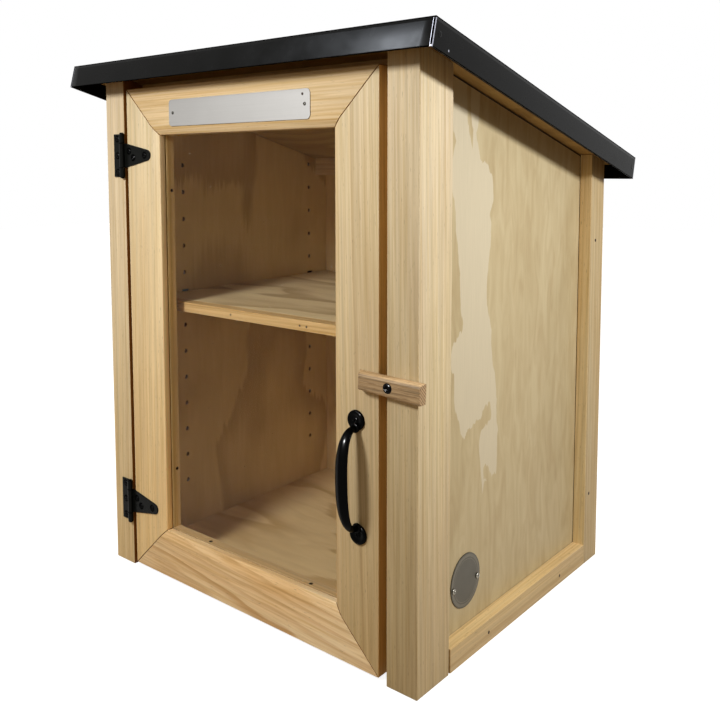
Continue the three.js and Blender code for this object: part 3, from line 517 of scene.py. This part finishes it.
# The roof board's two dark strips near its sides are painted shade, where the side flanges shade it
peel("roof_deck", "x", "z", "#b8995f", "#9a7a46", 7.0, 0.6, 6.6,
     seams=[((1, 0, 0), side * 0.2580, 0.0090) for side in (1, -1)])
print(len(ply), "sheets of plywood")

# %% [markdown]
# ## Oak for the turn latch
# The latch is the one piece of hardwood. Oak is known by its pores: the spring wood of each ring is full of
# open vessels, which show as short dark dashes along the grain and as dots on the end.

# %% Oak
def planed_oak(name):
    """Planed oak, lightly oiled: tan, open pored, with rings 2.7 mm wide. Pores = fine long noise above a
    threshold, most of them early in each ring. The saw has hatched its ends, 2.5 mm apart."""
    material, add, place, normal = blank(name)
    log, _, season = log_rings(add, place, (0.2, -0.19, 0.29), FLAT, 0.0027, 0.004, (40, 40, 12))
    summer = add("MapRange", season, 0.2, 0.95, 0.1, 0.75)
    tone = add("Mix RGBA", {0: summer, 6: "#b2956f", 7: "#8f6f49"})
    vessel = drawn_out(add, log, (2400, 2400, 90), detail=1.0)
    spring = add("MapRange", season, 0.0, 0.5, 1.0, 0.3)
    open_pore = add("MapRange", vessel, 0.56, 0.64)
    pore = add("Math MULTIPLY", open_pore, spring)
    colour = add("Mix RGBA", {0: pore, 6: tone, 7: "#6b4a2a"})
    thread = drawn_out(add, log, (620, 620, 14))
    line = add("MapRange", thread, 0.45, 0.68, 1.06, 0.62)
    slant = add("VectorMath DOT_PRODUCT", place, (0, 707, 707))
    stroke = add("Math PINGPONG", slant, 1.25)
    stroke = add("MapRange", stroke, 0.7, 1.1, 1.08, 0.45)
    sideways = add("SeparateXYZ", normal).outputs["X"]
    at_end = add("Math GREATER_THAN", sideways, 0.7)
    hatch = add("Mix FLOAT", {0: at_end, 2: 1.0, 3: stroke})
    # Painted light and shade: the top face is tinted much lighter and the ends a little lighter
    faces = painted_face_light(add, normal, ((1.1, 1.1, 1.05), (0.97, 1.0, 1.0), (1.55, 1.62, 1.65)))
    colour = chain(add, "VectorMath MULTIPLY", colour, line, hatch, faces)
    bump = add("Bump", {"Height": pore, "Strength": -0.3, "Distance": 0.0003})
    planed(add, colour, 0.55, bump)
    return material


nodes["turn_latch"].data.materials[0] = planed_oak("oak_latch")
print("latch in", nodes["turn_latch"].data.materials[0].name)

# %% [markdown]
# ## Black paint
# The roof is galvanised sheet with a baked satin paint, and the fittings are cast and stamped iron with a
# thicker, glossier black. Paint never lies quite flat: a fine orange peel breaks up its highlights, and a
# little dust dulls it in clouds.

# %% Baked paint
def baked_paint(name, colour, rough, peel, shine, marks=None):
    """Black or charcoal paint on steel: a dark coat with a clear highlight. Orange peel of about a
    millimetre, a little dust in the roughness. Marks are what bending or drilling did to the sheet, with
    painted shade in its lines and round its screws."""
    material, add, place, _ = blank(name)
    skin = add("TexNoise", {"Vector": place, "Scale": 900.0, "Detail": 2.0})
    cloud = add("TexNoise", {"Vector": place, "Scale": 25.0, "Detail": 4.0, "Roughness": 0.6})
    dusty = add("MapRange", cloud, 0.3, 0.7, rough - 0.05, rough + 0.07)
    base = tuple(v * 1.35 for v in linear(colour)[:3]) + (1.0,)
    tone = add("Mix RGBA", {0: cloud, 6: colour, 7: base})
    bump = add("Bump", {"Height": skin, "Strength": peel, "Distance": 0.0002})
    shader = add("BsdfPrincipled", {"Base Color": tone, "Roughness": dusty, "Normal": bump, "IOR": 1.5,
                                    "Specular IOR Level": shine})
    if marks:
        shader = marks(add, place, bump, shader)
    add("OutputMaterial", {"Surface": shader})
    return material


def painted_shade_in_recesses(add, mask, paint, depth="#020202"):
    """The paint, but a black that returns no light where the mask is 1: painted shade."""
    shade_black = add("BsdfPrincipled", {"Base Color": depth, "Roughness": 1.0, "Specular IOR Level": 0.0})
    return add("MixShader", mask, paint, shade_black)


print("paint has orange peel, dust and a highlight")

# %% [markdown]
# ## What folding did to the roof
# Each flange curls in towards its fold, its hem and its corner, a rivet is a low dome, and near the fold the
# flange leans. At the corners the cut ends of two flanges meet: raw zinc, a dark gap, raw zinc. All of it is
# written in the sheet's own sloping frame, where s runs down the slope and h stands on the sheet.

# %% Folded sheet
# The hem's and the fold's height on the sheet, and half of the roof's width, in metres
HEM, FOLD, ROOF_HALF = 0.5613, 0.5903, 0.282


def folded_sheet(add, place, bump, paint):
    """A relief in metres: ramps towards fold and hem, a soft step towards the corner, a parabola below the
    fold, and a cone frustum for each rivet. Then the colours over the paint: the dark corner slit, black
    lines of painted shade along fold and hem, and raw ends."""
    split = add("SeparateXYZ", place)
    s, h = (add("VectorMath DOT_PRODUCT", place, axis)
            for axis in ((0, math.cos(SLOPE), -math.sin(SLOPE)), SHEET_UP))
    x = add("Math ABSOLUTE", split.outputs["X"])
    normal = add("TexCoord").outputs["Normal"]
    sideways = add("Math ABSOLUTE", add("SeparateXYZ", normal).outputs["X"])
    on_side = add("Math GREATER_THAN", sideways, 0.5)
    on_front = add("Math SUBTRACT", 1.0, on_side)
    relief = add("MapRange", h, 0.5866, FOLD, 0.0, -0.0009)
    hem = add("MapRange", h, HEM, 0.5627, -0.0007, 0.0)
    level = add("MapRange", h, HEM, FOLD, 0.267, 0.270)
    past = add("Math SUBTRACT", x, level)
    curl = add("MapRange SMOOTHSTEP", past, 0.0, 0.026, 0.0, -0.0040)
    curl = add("Math MULTIPLY", curl, on_front)
    relief = chain(add, "Math ADD", relief, hem, curl)
    lean = h
    for step, amount in (("SUBTRACT", 0.5730), ("MAXIMUM", 0.0), ("POWER", 2.0)):
        lean = add("Math " + step, lean, amount)
    relief = add("Math MULTIPLY_ADD", lean, -1.5, relief)
    flat = add("VectorMath MULTIPLY", place, (0, 1, 1))
    for y, z in ((-0.2316, 0.6568), (0.2330, 0.5340)):
        away = add("VectorMath DISTANCE", flat, (0, y, z))
        rivet = add("MapRange", away, 0.0023, 0.0032, 0.0012, 0.0)
        rivet = add("Math MULTIPLY", rivet, on_side)
        relief = add("Math ADD", relief, rivet)
    bent = add("Bump", {"Height": relief, "Strength": 1.0, "Distance": 1.0, "Normal": bump})
    bent.id_data.links.new(bent.outputs[0], paint.inputs["Normal"])

    corner = add("Math SUBTRACT", ROOF_HALF, x)
    end = add("Math MINIMUM", add("Math ADD", s, 0.40098), add("Math SUBTRACT", 0.0977, s))
    low = add("Math LESS_THAN", h, 0.5885)

    def strip(distance, first, last, where):
        """1 where the distance lies between first and last on the faces that where marks."""
        inside = add("Math COMPARE", distance, (first + last) / 2, (last - first) / 2)
        return chain(add, "Math MULTIPLY", inside, where, low)

    lip = add("Math LESS_THAN", h, 0.5632)
    hook = add("Math MULTIPLY", strip(corner, 0.0005, 0.0028, on_front), lip)
    chip = add("VectorMath DISTANCE", place, (ROOF_HALF, -0.2167, 0.6431))
    chip = add("Math LESS_THAN", chip, 0.0011)
    cut_front, cut_side = strip(corner, 0.0024, 0.00285, on_front), strip(end, -0.001, 0.0014, on_side)
    raw = chain(add, "Math MAXIMUM", cut_front, cut_side, hook, chip)
    # Black lines of painted shade where the sheet turns over at the fold and back at the hem, on the upright
    # faces alone
    upward = add("VectorMath DOT_PRODUCT", normal, SHEET_UP)
    line = add("Math MAXIMUM", add("Math GREATER_THAN", h, 0.5891), add("Math LESS_THAN", h, 0.5621))
    line = add("Math MULTIPLY", line, add("Math LESS_THAN", upward, 0.97))
    gap_and_fold_shade = add("Math MAXIMUM", strip(corner, -0.001, 0.0024, on_front), line)
    zinc = add("BsdfPrincipled", {"Base Color": "#86868c", "Metallic": 1.0, "Roughness": 0.5})
    return add("MixShader", raw, painted_shade_in_recesses(add, gap_and_fold_shade, paint), zinc)


print("flanges are", round((FOLD - HEM) * 1000), "mm deep")

# %% [markdown]
# ## Hinges and bare metal
# Each screw of a hinge sits in a countersunk hole, and the shade in it is painted as a dark ring; the barrel
# is three knuckles, with a dark line of painted shade between them. The plate, the medallion and a few screws
# are bare. Brushed metal has fine parallel scratches, which we draw as noise that is drawn out sideways, and
# a metal's own colour does the rest.

# %% Countersunk hinges and bare metal
def middle(part):
    """The centre of a solid's box, in metres."""
    low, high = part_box(part)
    return (low + high) / 2


def countersunk(add, place, bump, paint):
    """A dark groove of painted shade 1.6 mm wide round each screw's head, and a dark line of painted shade
    where two knuckles of a barrel meet, 16 mm above and below the hinge's middle."""
    flat = add("VectorMath MULTIPLY", place, (1, 0, 1))
    split = add("SeparateXYZ", place)
    marks = []
    for part in nodes:
        if "_strap_screw_" in part or "_leaf_screw_" in part:
            low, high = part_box(part)
            centre, radius = middle(part), (high.z - low.z) / 2
            away = add("VectorMath DISTANCE", flat, (centre.x, 0, centre.z))
            marks.append(add("Math COMPARE", away, radius + 0.0007, 0.0008))
    barrel = add("Math COMPARE", split.outputs["X"], -0.2125, 0.0055)
    for leaf in ("top_hinge_leaf", "bottom_hinge_leaf"):
        for z in (middle(leaf).z - 0.016, middle(leaf).z + 0.016):
            level = add("Math COMPARE", split.outputs["Z"], z, 0.0006)
            marks.append(add("Math MULTIPLY", level, barrel))
    return painted_shade_in_recesses(add, chain(add, "Math MAXIMUM", *marks), paint, "#030303")


def bare_metal(name, colour, rough, brushed=False, centre=None):
    """Bare metal, brushed along X or cast dull: a grey mirror that its scratches blur. Scratches 0.25 mm
    apart, drawn wide enough to be seen. Round a centre in the YZ plane lies a raised rim from 26 to 29 mm
    and a fine ring at 24 mm."""
    material, add, place, _ = blank(name)
    scratch = drawn_out(add, place, (20, 2500, 2500) if brushed else (700, 700, 700), detail=3.0, rough=0.7)
    cloud = add("TexNoise", {"Vector": place, "Scale": 40.0, "Detail": 3.0})
    low = tuple(v * 0.86 for v in linear(colour)[:3]) + (1.0,)
    tone = add("Mix RGBA", {0: scratch, 6: low, 7: colour})
    blur = add("MapRange", cloud, 0.3, 0.7, rough - 0.02, rough + 0.04)
    bump = add("Bump", {"Height": scratch, "Strength": 0.15, "Distance": 0.0001})
    if centre:
        flat = add("VectorMath MULTIPLY", place, (0, 1, 1))
        away = add("VectorMath DISTANCE", flat, centre)
        rim = add("Math COMPARE", away, 0.0275, 0.0015)
        ring = add("Math COMPARE", away, 0.0240, 0.0004)
        mark = add("Math ADD", rim, ring)
        worn = tuple(v * 1.35 for v in linear(colour))
        tone = add("Mix RGBA", {0: mark, 6: tone, 7: worn})
        bump = add("Bump", {"Height": mark, "Strength": 1.0, "Distance": 0.0003, "Normal": bump})
    shader = add("BsdfPrincipled", {"Base Color": tone, "Metallic": 1.0, "Roughness": blur, "Normal": bump})
    add("OutputMaterial", {"Surface": shader})
    return material


satin_roof = baked_paint("satin_charcoal_sheet", "#0b0b0a", 0.24, 0.03, 0.05, folded_sheet)
gloss_black = baked_paint("gloss_black_iron", "#020202", 0.20, 0.03, 0.025)
strap_black = baked_paint("stamped_black_strap", "#0b0c0a", 0.30, 0.06, 0.05, countersunk)
oxide_black = baked_paint("black_oxide_screw", "#040404", 0.20, 0.03, 0.04)
nail_steel = baked_paint("dark_nail_steel", "#2c1d10", 0.5, 0.05, 0.1)
medal_bare = bare_metal("dull_pewter", "#544f44", 0.45, centre=(0, *middle("medallion").yz))
plate_bare = bare_metal("brushed_aluminium", "#989590", 0.58, brushed=True)
plate_zinc = bare_metal("dull_zinc", "#55524c", 0.25)
nickel = bare_metal("worn_nickel", "#8a857a", 0.25)
for part, solid in nodes.items():
    if slots[part].startswith("black_iron"):
        hinged = part.endswith(("_hinge_leaf", "_hinge_strap"))
        solid.data.materials[0] = strap_black if hinged else gloss_black
for part, finish in (("roof_cap", satin_roof), ("name_plate", plate_bare), ("medallion", medal_bare)):
    nodes[part].data.materials[0] = finish
    print(part, "in", finish.name)

# %% [markdown]
# ## The pane
# The pane is clear acrylic. It bends light a little and reflects a little, and real lamps shine through it
# without the renderer's usual trouble: for the ray that asks whether a lamp is blocked, the pane is simply
# not there. A few specks of dust are what makes a clean pane visible at all.

# %% Clear pane
def clear_pane(name):
    """Cast acrylic, IOR 1.49. Its reflection is set fainter, by a lower IOR, because an empty studio mirrors
    more white than a room does. Specks = cells of 9 mm, a dot in some of them."""
    material, add, place, _ = blank(name)
    cells = add("TexVoronoi", {"Vector": place, "Scale": 110.0, "Randomness": 1.0})
    pick = add("SeparateXYZ", cells.outputs["Color"])
    size = add("MapRange", pick.outputs["X"], 0.82, 1.0, 0.0, 0.075)
    speck = add("Math LESS_THAN", cells.outputs["Distance"], size)
    glass = add("BsdfPrincipled", {"Base Color": (1, 0.995, 0.95, 1), "Roughness": 0.0, "IOR": 1.12,
                                   "Transmission Weight": 1.0})
    dust = add("BsdfPrincipled", {"Base Color": "#e6dcc8", "Roughness": 0.9})
    path = add("LightPath").outputs
    passing = add("Math MAXIMUM", path["Is Shadow Ray"], path["Is Diffuse Ray"])
    through = add("BsdfTransparent", {"Color": (0.97, 0.975, 0.97, 1)})
    clean = add("MixShader", passing, glass, through)
    dusty = add("MixShader", speck, clean, dust)
    add("OutputMaterial", {"Surface": dusty})
    return material


nodes["door_pane"].data.materials[0] = clear_pane("clear_acrylic")
print("pane in", nodes["door_pane"].data.materials[0].name)

# %% [markdown]
# ## Turned and cast iron
# Screws, discs and the bow of the pull are round things, so each is a stack of rings: a profile that is
# turned about an axis, or a section that is carried along a path. One function closes such a stack into a
# skin, and the rest is only the choice of where each ring lies.

# %% A skin through rings
def skin(name, rings, finish, of_node, replaced=()):
    """A closed smooth skin through rings of points, an array (ring, place round it, xyz) in millimetres. The
    first and the last ring are single points, the poles. It rides with the body of of_node. If the volume
    under the faces comes out negative, the rings ran the other way, and all the faces are turned over."""
    rings = np.asarray(rings, float) / 1000
    count, around = rings.shape[:2]
    points = np.vstack([rings[:1, 0], rings[1:-1].reshape(-1, 3), rings[-1:, 0]])
    grid = 1 + np.arange((count - 2) * around).reshape(count - 2, around)
    beside = np.roll(grid, -1, axis=1)
    quads = np.stack([grid[:-1], beside[:-1], beside[1:], grid[1:]], axis=-1).reshape(-1, 4)
    first = np.stack([np.zeros(around, int), beside[0], grid[0]], axis=-1)
    last = np.stack([np.full(around, len(points) - 1), grid[-1], beside[-1]], axis=-1)
    corners = points[np.vstack([first, last, quads[:, :3], quads[:, [0, 2, 3]]])].transpose(1, 0, 2)
    volume = np.einsum("ij,ij->", corners[0], np.cross(corners[1], corners[2]))
    way = 1 if volume > 0 else -1
    mesh = bpy.data.meshes.new(name)
    faces = [face[::way] for part in (first, quads, last) for face in part.tolist()]
    mesh.from_pydata(points, [], faces)
    mesh.shade_smooth()
    mesh.materials.append(finish)
    piece = placed(name, mesh)
    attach(piece, body_of(nodes[of_node])[0])
    if replaced:
        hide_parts(*replaced)


X, Y, Z = np.eye(3, dtype=int)
FACING = {"front": (X, Z, -Y), "right": (Y, Z, X), "left": (Y, Z, -X), "up": (X, Y, Z)}


def circle(sides, turn=0.0):
    """Cosines and sines of the angles round a circle, from a turn on."""
    angle = np.arange(sides) / sides * 2 * np.pi + turn
    return np.cos(angle), np.sin(angle)


def turned(centre, facing, radius, height, sides=48):
    """Rings about an axis through a centre: radius and height have one entry for each ring, a number or one
    for each side. The axes are across, up and out of the face that it sits on."""
    across, upward, out = FACING[facing]
    c, s = circle(sides)
    radius, height = (np.broadcast_to(np.asarray(v, float).T, (sides, len(v))).T for v in (radius, height))
    flat = radius[..., None] * (c[:, None] * across + s[:, None] * upward)
    return np.asarray(centre) + flat + height[..., None] * out


print("rings turn about", ", ".join(FACING))

# %% [markdown]
# ## Screws
# Each screw is a low dome with the driver's recess pressed into it, and a shank that goes on into the wood.
# The recess is cut out of the dome's height: two crossing slots, or a hexagon on the big screw of the latch.
# Each is left at its own angle, as a driver leaves it.

# %% Screws
def screw(node, finish, facing="front", drive="cross", sink=0.0, turn=0.0, sides=48):
    """A screw in place of a plain one. Height of the head at distance r from its axis: dome times
    (1 - (r/R)^2.4)^0.8, less the recess, whose soft walls are clipped ramps."""
    low, high = (np.array(corner) * 1000 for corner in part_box(node))
    out = FACING[facing][2]
    length = abs(out @ (high - low))
    head = (high - low)[2] / 2
    front = (low + high) / 2 + out * (length / 2 - sink)
    dome, shank = head * 0.40, head * 0.46
    share = np.linspace(0, 1, 15)[:, None]
    px, pz = (np.abs(share * head * part) for part in circle(sides, turn))
    if drive == "cross":
        inside = np.clip((0.15 * head - np.minimum(px, pz)) / 0.25 + 0.5, 0, 1)
        inside = inside * np.clip((0.62 * head - np.maximum(px, pz)) / 0.4 + 0.5, 0, 1)
    else:
        inside = np.clip((0.42 * head - np.maximum(px, px / 2 + pz * 0.866)) / 0.3 + 0.5, 0, 1)
    height = dome * (1 - share ** 2.4) ** 0.8 - dome - inside * dome * 1.1
    foot = np.array([-dome - 0.3, -dome - 0.35, sink * 2 + 3 - length, -length])[:, None]
    radius = np.repeat(np.vstack([share * head, [[head], [shank], [shank], [0]]]), sides, 1)
    height = np.vstack([height, np.repeat(foot, sides, 1)])
    skin("dressed_" + node, turned(front, facing, radius, height), finish, node, [node])


for row, hinge in enumerate(("top", "bottom")):
    for k in (1, 2, 3):
        screw(f"{hinge}_leaf_screw_{k}", oxide_black, turn=k * 0.7 + row)
        screw(f"{hinge}_strap_screw_{k}", oxide_black, turn=k * 1.3 + row * 0.4)
screw("latch_screw", oxide_black, drive="hexagon", turn=0.2)
for k in (1, 2):
    screw(f"plate_screw_{k}", plate_zinc, turn=k)
    screw(f"medallion_screw_{k}", nickel, "right", turn=0.4 + k)
    screw(f"pull_screw_{k}", gloss_black, sink=0.9, turn=k * 0.5)

# %% [markdown]
# ## The pull
# The pull is cast: two dished discs with a rolled rim, a small collar on each, and a bow that leaves one
# collar, swells, and enters the other. The bow's section has a crest down its middle and is nearly flat
# behind, where the fingers go. The slopes of the crest are what catches the light on its neck.

# %% Pull
door_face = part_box("door_right_stile")[0].y * 1000
discs = [middle(f"pull_screw_{k}") * 1000 for k in (1, 2)]
top, foot = (np.array((disc.x, door_face, disc.z)) for disc in discs)
RIM = ([0, 4.2, 5.2, 6.4, 7.8, 9.0, 10.0, 10.6, 10.8, 10.8, 10.5, 0],
       [2.3, 2.3, 2.5, 3.1, 3.5, 3.5, 3.0, 2.2, 1.2, 0.3, -0.1, -0.1])
COLLAR = ([0, 5.2, 5.5, 5.3, 4.6, 3.6, 0], [2.0, 2.0, 3.2, 4.4, 5.2, 5.6, 5.6])
lean = (top - foot) / (top[2] - foot[2])
collars = [top - lean * 7.6, foot + lean * 7.6]


def bow(start, end, depth, fullness, steps=64, sides=40):
    """The bow: a superellipse from collar to collar, y = -depth * sin(t)^p, along = cos(t)^p, p = 2/fullness.
    The section is half of |x|^1.3 + |out|^1.3 = 1 in front and a flatter |x|^2.6 + |out|^2.6 = 1 behind, as
    wide as 6.4 + 9.2 sin(t) and as thick as 6 + 2.8 sin(t). It is round where it enters the collars."""
    power = 2 / fullness
    t = np.linspace(0, np.pi, steps)
    sine = np.sin(t).clip(0)
    along = (1 - np.sign(np.cos(t)) * np.abs(np.cos(t)) ** power) / 2
    path = start + along[:, None] * (end - start) + np.outer(sine ** power, (0, -depth, 0))
    run = np.gradient(path, axis=0)
    run[0], run[-1] = -Y, Y
    outward = np.cross(run, X)
    outward /= np.linalg.norm(outward, axis=1)[:, None]
    c, s = circle(sides)
    exponent = np.where(s >= 0, 1.3, 2.6)
    share = (sine ** 0.7)[:, None]
    reach = 1 + share * ((np.abs(c) ** exponent + np.abs(s) ** exponent) ** (-1 / exponent) - 1)
    back = 1 + share * (np.where(s >= 0, 1.0, 0.72) - 1)
    half_wide, half_thick = (3.2 + 4.6 * sine)[:, None], (3.0 + 1.4 * sine)[:, None]
    rings = path[:, None] + (half_wide * reach * c)[..., None] * X
    rings = rings + (half_thick * reach * s * back)[..., None] * outward[:, None]
    poles = [np.repeat(pole[None, None], sides, axis=1) for pole in (path[0], path[-1])]
    return np.vstack([poles[0], rings, poles[1]])


skin("cast_pull_bow", bow(collars[0] - 3.5 * Y, collars[1] - 3.5 * Y, 24.6, 2.5), gloss_black, "door_pull",
     ["door_pull"])
for k, (disc, collar) in enumerate(zip((top, foot), collars), 1):
    skin(f"cast_pull_disc_{k}", turned(disc, "front", *RIM, 64), gloss_black, "door_pull")
    skin(f"cast_pull_collar_{k}", turned(collar, "front", *COLLAR), gloss_black, "door_pull")
print("pull from", [round(v, 1) for v in top], "to", [round(v, 1) for v in foot])

# %% [markdown]
# ## Nails
# Small brads hold the shelf's lipping and the strips outside. Each is only a dark spot with a sunken rim,
# but a row of them says how the box is put together.

# %% Nails
# The board, the way that the nail faces, its radius and its places, in millimetres
LIPPING_FACE, PLATE_FACE = -169.2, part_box("name_plate")[0].y * 1000
NAILS = [("shelf_lipping", "front", 1.3, [(-59.6, LIPPING_FACE, 354.5), (55.6, LIPPING_FACE, 354.5),
                                          (66, LIPPING_FACE, 354.3)]),
         ("name_plate", "front", 1.5, [(99.5, PLATE_FACE, 615.6)]),
         ("shelf_lipping", "front", 0.8, [(-160, LIPPING_FACE, 354.6)]),
         ("bead_bottom", "up", 2.5, [(-77.7, -192, 64), (90.5, -192, 64)]),
         ("bead_left", "right", 2.2, [(-145.5, -188, 508.6), (-145.5, -188, 142.3)])]
for side, x in (("right", 248), ("left", -248)):
    NAILS += [(f"{side}_lower_rail", side, 1.9, [(x, -67.9, 12), (x, 113.4, 11.3)]),
              (f"rear_{side}_post", side, 2.2, [(x, 202.4, 437.8), (x, 199.2, 94.9)])]
driven = 0
for board, facing, r, places in NAILS:
    profile = ([0, 0.6 * r, 0.85 * r, r, r, 0], [0.05, 0.06, 0.15, 0.08, -0.6, -0.6])
    for place in places:
        skin(f"nail_{driven}", turned(place, facing, *profile, 24), nail_steel, board)
        driven += 1
print(driven, "nails")

# %% [markdown]
# ## Eased edges
# No joiner leaves an edge knife sharp: a pass of sandpaper takes about a millimetre off, and that small
# round is what catches the light along every board. The solids come in as loose triangles, so each first
# has its corners welded and its flat faces joined up again. Then Bevel rounds only the real edges.

# %% Eased edges
def ease(width, *parts):
    """Weld, join flat faces, round the edges by a width in metres, and shade by face size."""
    for part in parts:
        solid = nodes[part]
        weld = solid.modifiers.new("weld", "WELD")
        weld.merge_threshold = 1e-5
        join = solid.modifiers.new("join_flats", "DECIMATE")
        join.decimate_type, join.angle_limit = "DISSOLVE", math.radians(1.0)
        edge = solid.modifiers.new("eased_edge", "BEVEL")
        edge.width, edge.segments, edge.limit_method = width, 2, "ANGLE"
        edge.angle_limit, edge.use_clamp_overlap, edge.harden_normals = math.radians(32), False, False
        shade = solid.modifiers.new("shade_by_face", "WEIGHTED_NORMAL")
        shade.keep_sharp = False


beads = [part for part in pine if part.startswith("bead_")]
ease(0.0009, *(part for part in pine if part not in beads))
ease(0.0005, *beads, *ply)
ease(0.0010, "turn_latch")
ease(0.0004, "roof_cap")
ease(0.0003, "top_hinge_leaf", "bottom_hinge_leaf", "top_hinge_strap", "bottom_hinge_strap", "medallion")
ease(0.0002, "name_plate")
print("eased", sum(len(n.modifiers) > 0 for n in nodes.values()), "pieces")

# %% [markdown]
# ## Floor and world
# The box stands on a plain pale floor. Its white is for the camera's eye only, and so is the world's:
# other rays see an ordinary surface, so the white of the page doesn't flood the wood.

# %% Floor and world
def sees_page(add):
    """1 for the rays that see the white page: the camera's, mirrored ones, and those through glass."""
    path = add("LightPath").outputs
    rays = (path[f"Is {kind} Ray"] for kind in ("Camera", "Glossy", "Transmission"))
    return chain(add, "Math MAXIMUM", *rays)


def pale_floor(name):
    """A pale studio floor that keeps the shadow, and glows up to white in the page's eyes."""
    material, add, place, _ = blank(name)
    away = add("VectorMath LENGTH", place)
    fill = add("MapRange", away, 0.45, 1.5, 0.88, 1.0)
    glow = add("Emission", {"Color": (1, 1, 1, 1), "Strength": fill})
    pale = add("BsdfDiffuse", {"Color": "#b9b7b3"})
    dim = add("BsdfDiffuse", {"Color": "#a08562"})
    both = add("AddShader", pale, glow)
    mix = add("MixShader", sees_page(add), dim, both)
    add("OutputMaterial", {"Surface": mix})
    return material


floor_mesh = bpy.data.meshes.new("floor")
floor_mesh.from_pydata([(x, y, -0.0004) for x, y in ((-6, -6), (6, -6), (6, 6), (-6, 6))], [], [(0, 1, 2, 3)])
floor = placed("floor", floor_mesh)
floor_mesh.materials.append(pale_floor("pale_studio_floor"))
floor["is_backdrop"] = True

world = bpy.data.worlds.new("studio")
bpy.context.scene.world = world
world.use_nodes = True
world.node_tree.nodes.clear()
add = partial(add_node, world.node_tree)
page = add("Background", {"Color": (1, 1, 1, 1), "Strength": 1.0})
soft = add("Background", {"Color": (1, 0.86, 0.66, 1), "Strength": 0.292})
both = add("MixShader", sees_page(add), soft, page)
add("OutputWorld", {"Surface": both})
print("floor and world are white to the camera")

# %% [markdown]
# ## Lamps
# One soft lamp stands in front and above, as the short shadow under the roof's front flange says. A second
# lights the right side, and a third the back. The last two are only there for shine: one for the roof's
# front, one for the small glints on the iron, and on nothing else.

# %% Lamps
def lamp(name, place, target, size, watts, colour=(1, 1, 1)):
    """A soft lamp of that width at a place, turned to a target."""
    light = bpy.data.lights.new(name, "AREA")
    light.shape, light.size, light.energy, light.spread = "DISK", size, watts, math.radians(120)
    light.color = colour
    stand = placed(name, light)
    aim = (Vector(target) - Vector(place)).to_track_quat("-Z", "Y")
    stand.matrix_world = Matrix.Translation(place) @ aim.to_matrix().to_4x4()
    return stand


front = lamp("front_lamp", (-0.05, -1.06, 0.965), (0, -0.2, 0.50), 0.26, 4.05, (1.0, 1.0, 1.01))
front.data.shape, front.data.size_y = "ELLIPSE", 0.20
lamp("side_lamp", (1.18, 0.0, 0.82), (0.2, 0, 0.45), 0.16, 4.5, (1.0, 1.03, 1.12))
lamp("back_lamp", (-1.10, 1.00, 0.85), (-0.1, 0.1, 0.35), 0.40, 6.0, (1.0, 1.0, 1.02))
gleam = lamp("gleam_lamp", (-0.25, -0.877, 1.10), (0.15, -0.24, 0.655), 0.15, 3.0, (0.9, 0.96, 1.05))
glint = lamp("glint_lamp", (0.30, -1.1, 0.95), (0.17, -0.24, 0.25), 0.07, 45)
gleam.visible_diffuse = glint.visible_diffuse = False
ironwork = bpy.data.collections.new("ironwork")
for piece in bpy.context.scene.objects:
    if piece.type == "MESH" and piece.data.materials[0] in (gloss_black, oxide_black):
        ironwork.objects.link(piece)
glint.light_linking.receiver_collection = ironwork
bpy.context.scene.view_settings.view_transform = "Standard"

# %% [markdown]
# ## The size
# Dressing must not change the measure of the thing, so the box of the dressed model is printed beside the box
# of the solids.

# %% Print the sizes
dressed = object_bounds()
sizes = {"cad": [list(corner) for corner in cad_box], "dressed": [list(corner) for corner in dressed]}
for title, corners in sizes.items():
    print(title, [round(v * 1000, 1) for corner in corners for v in corner])
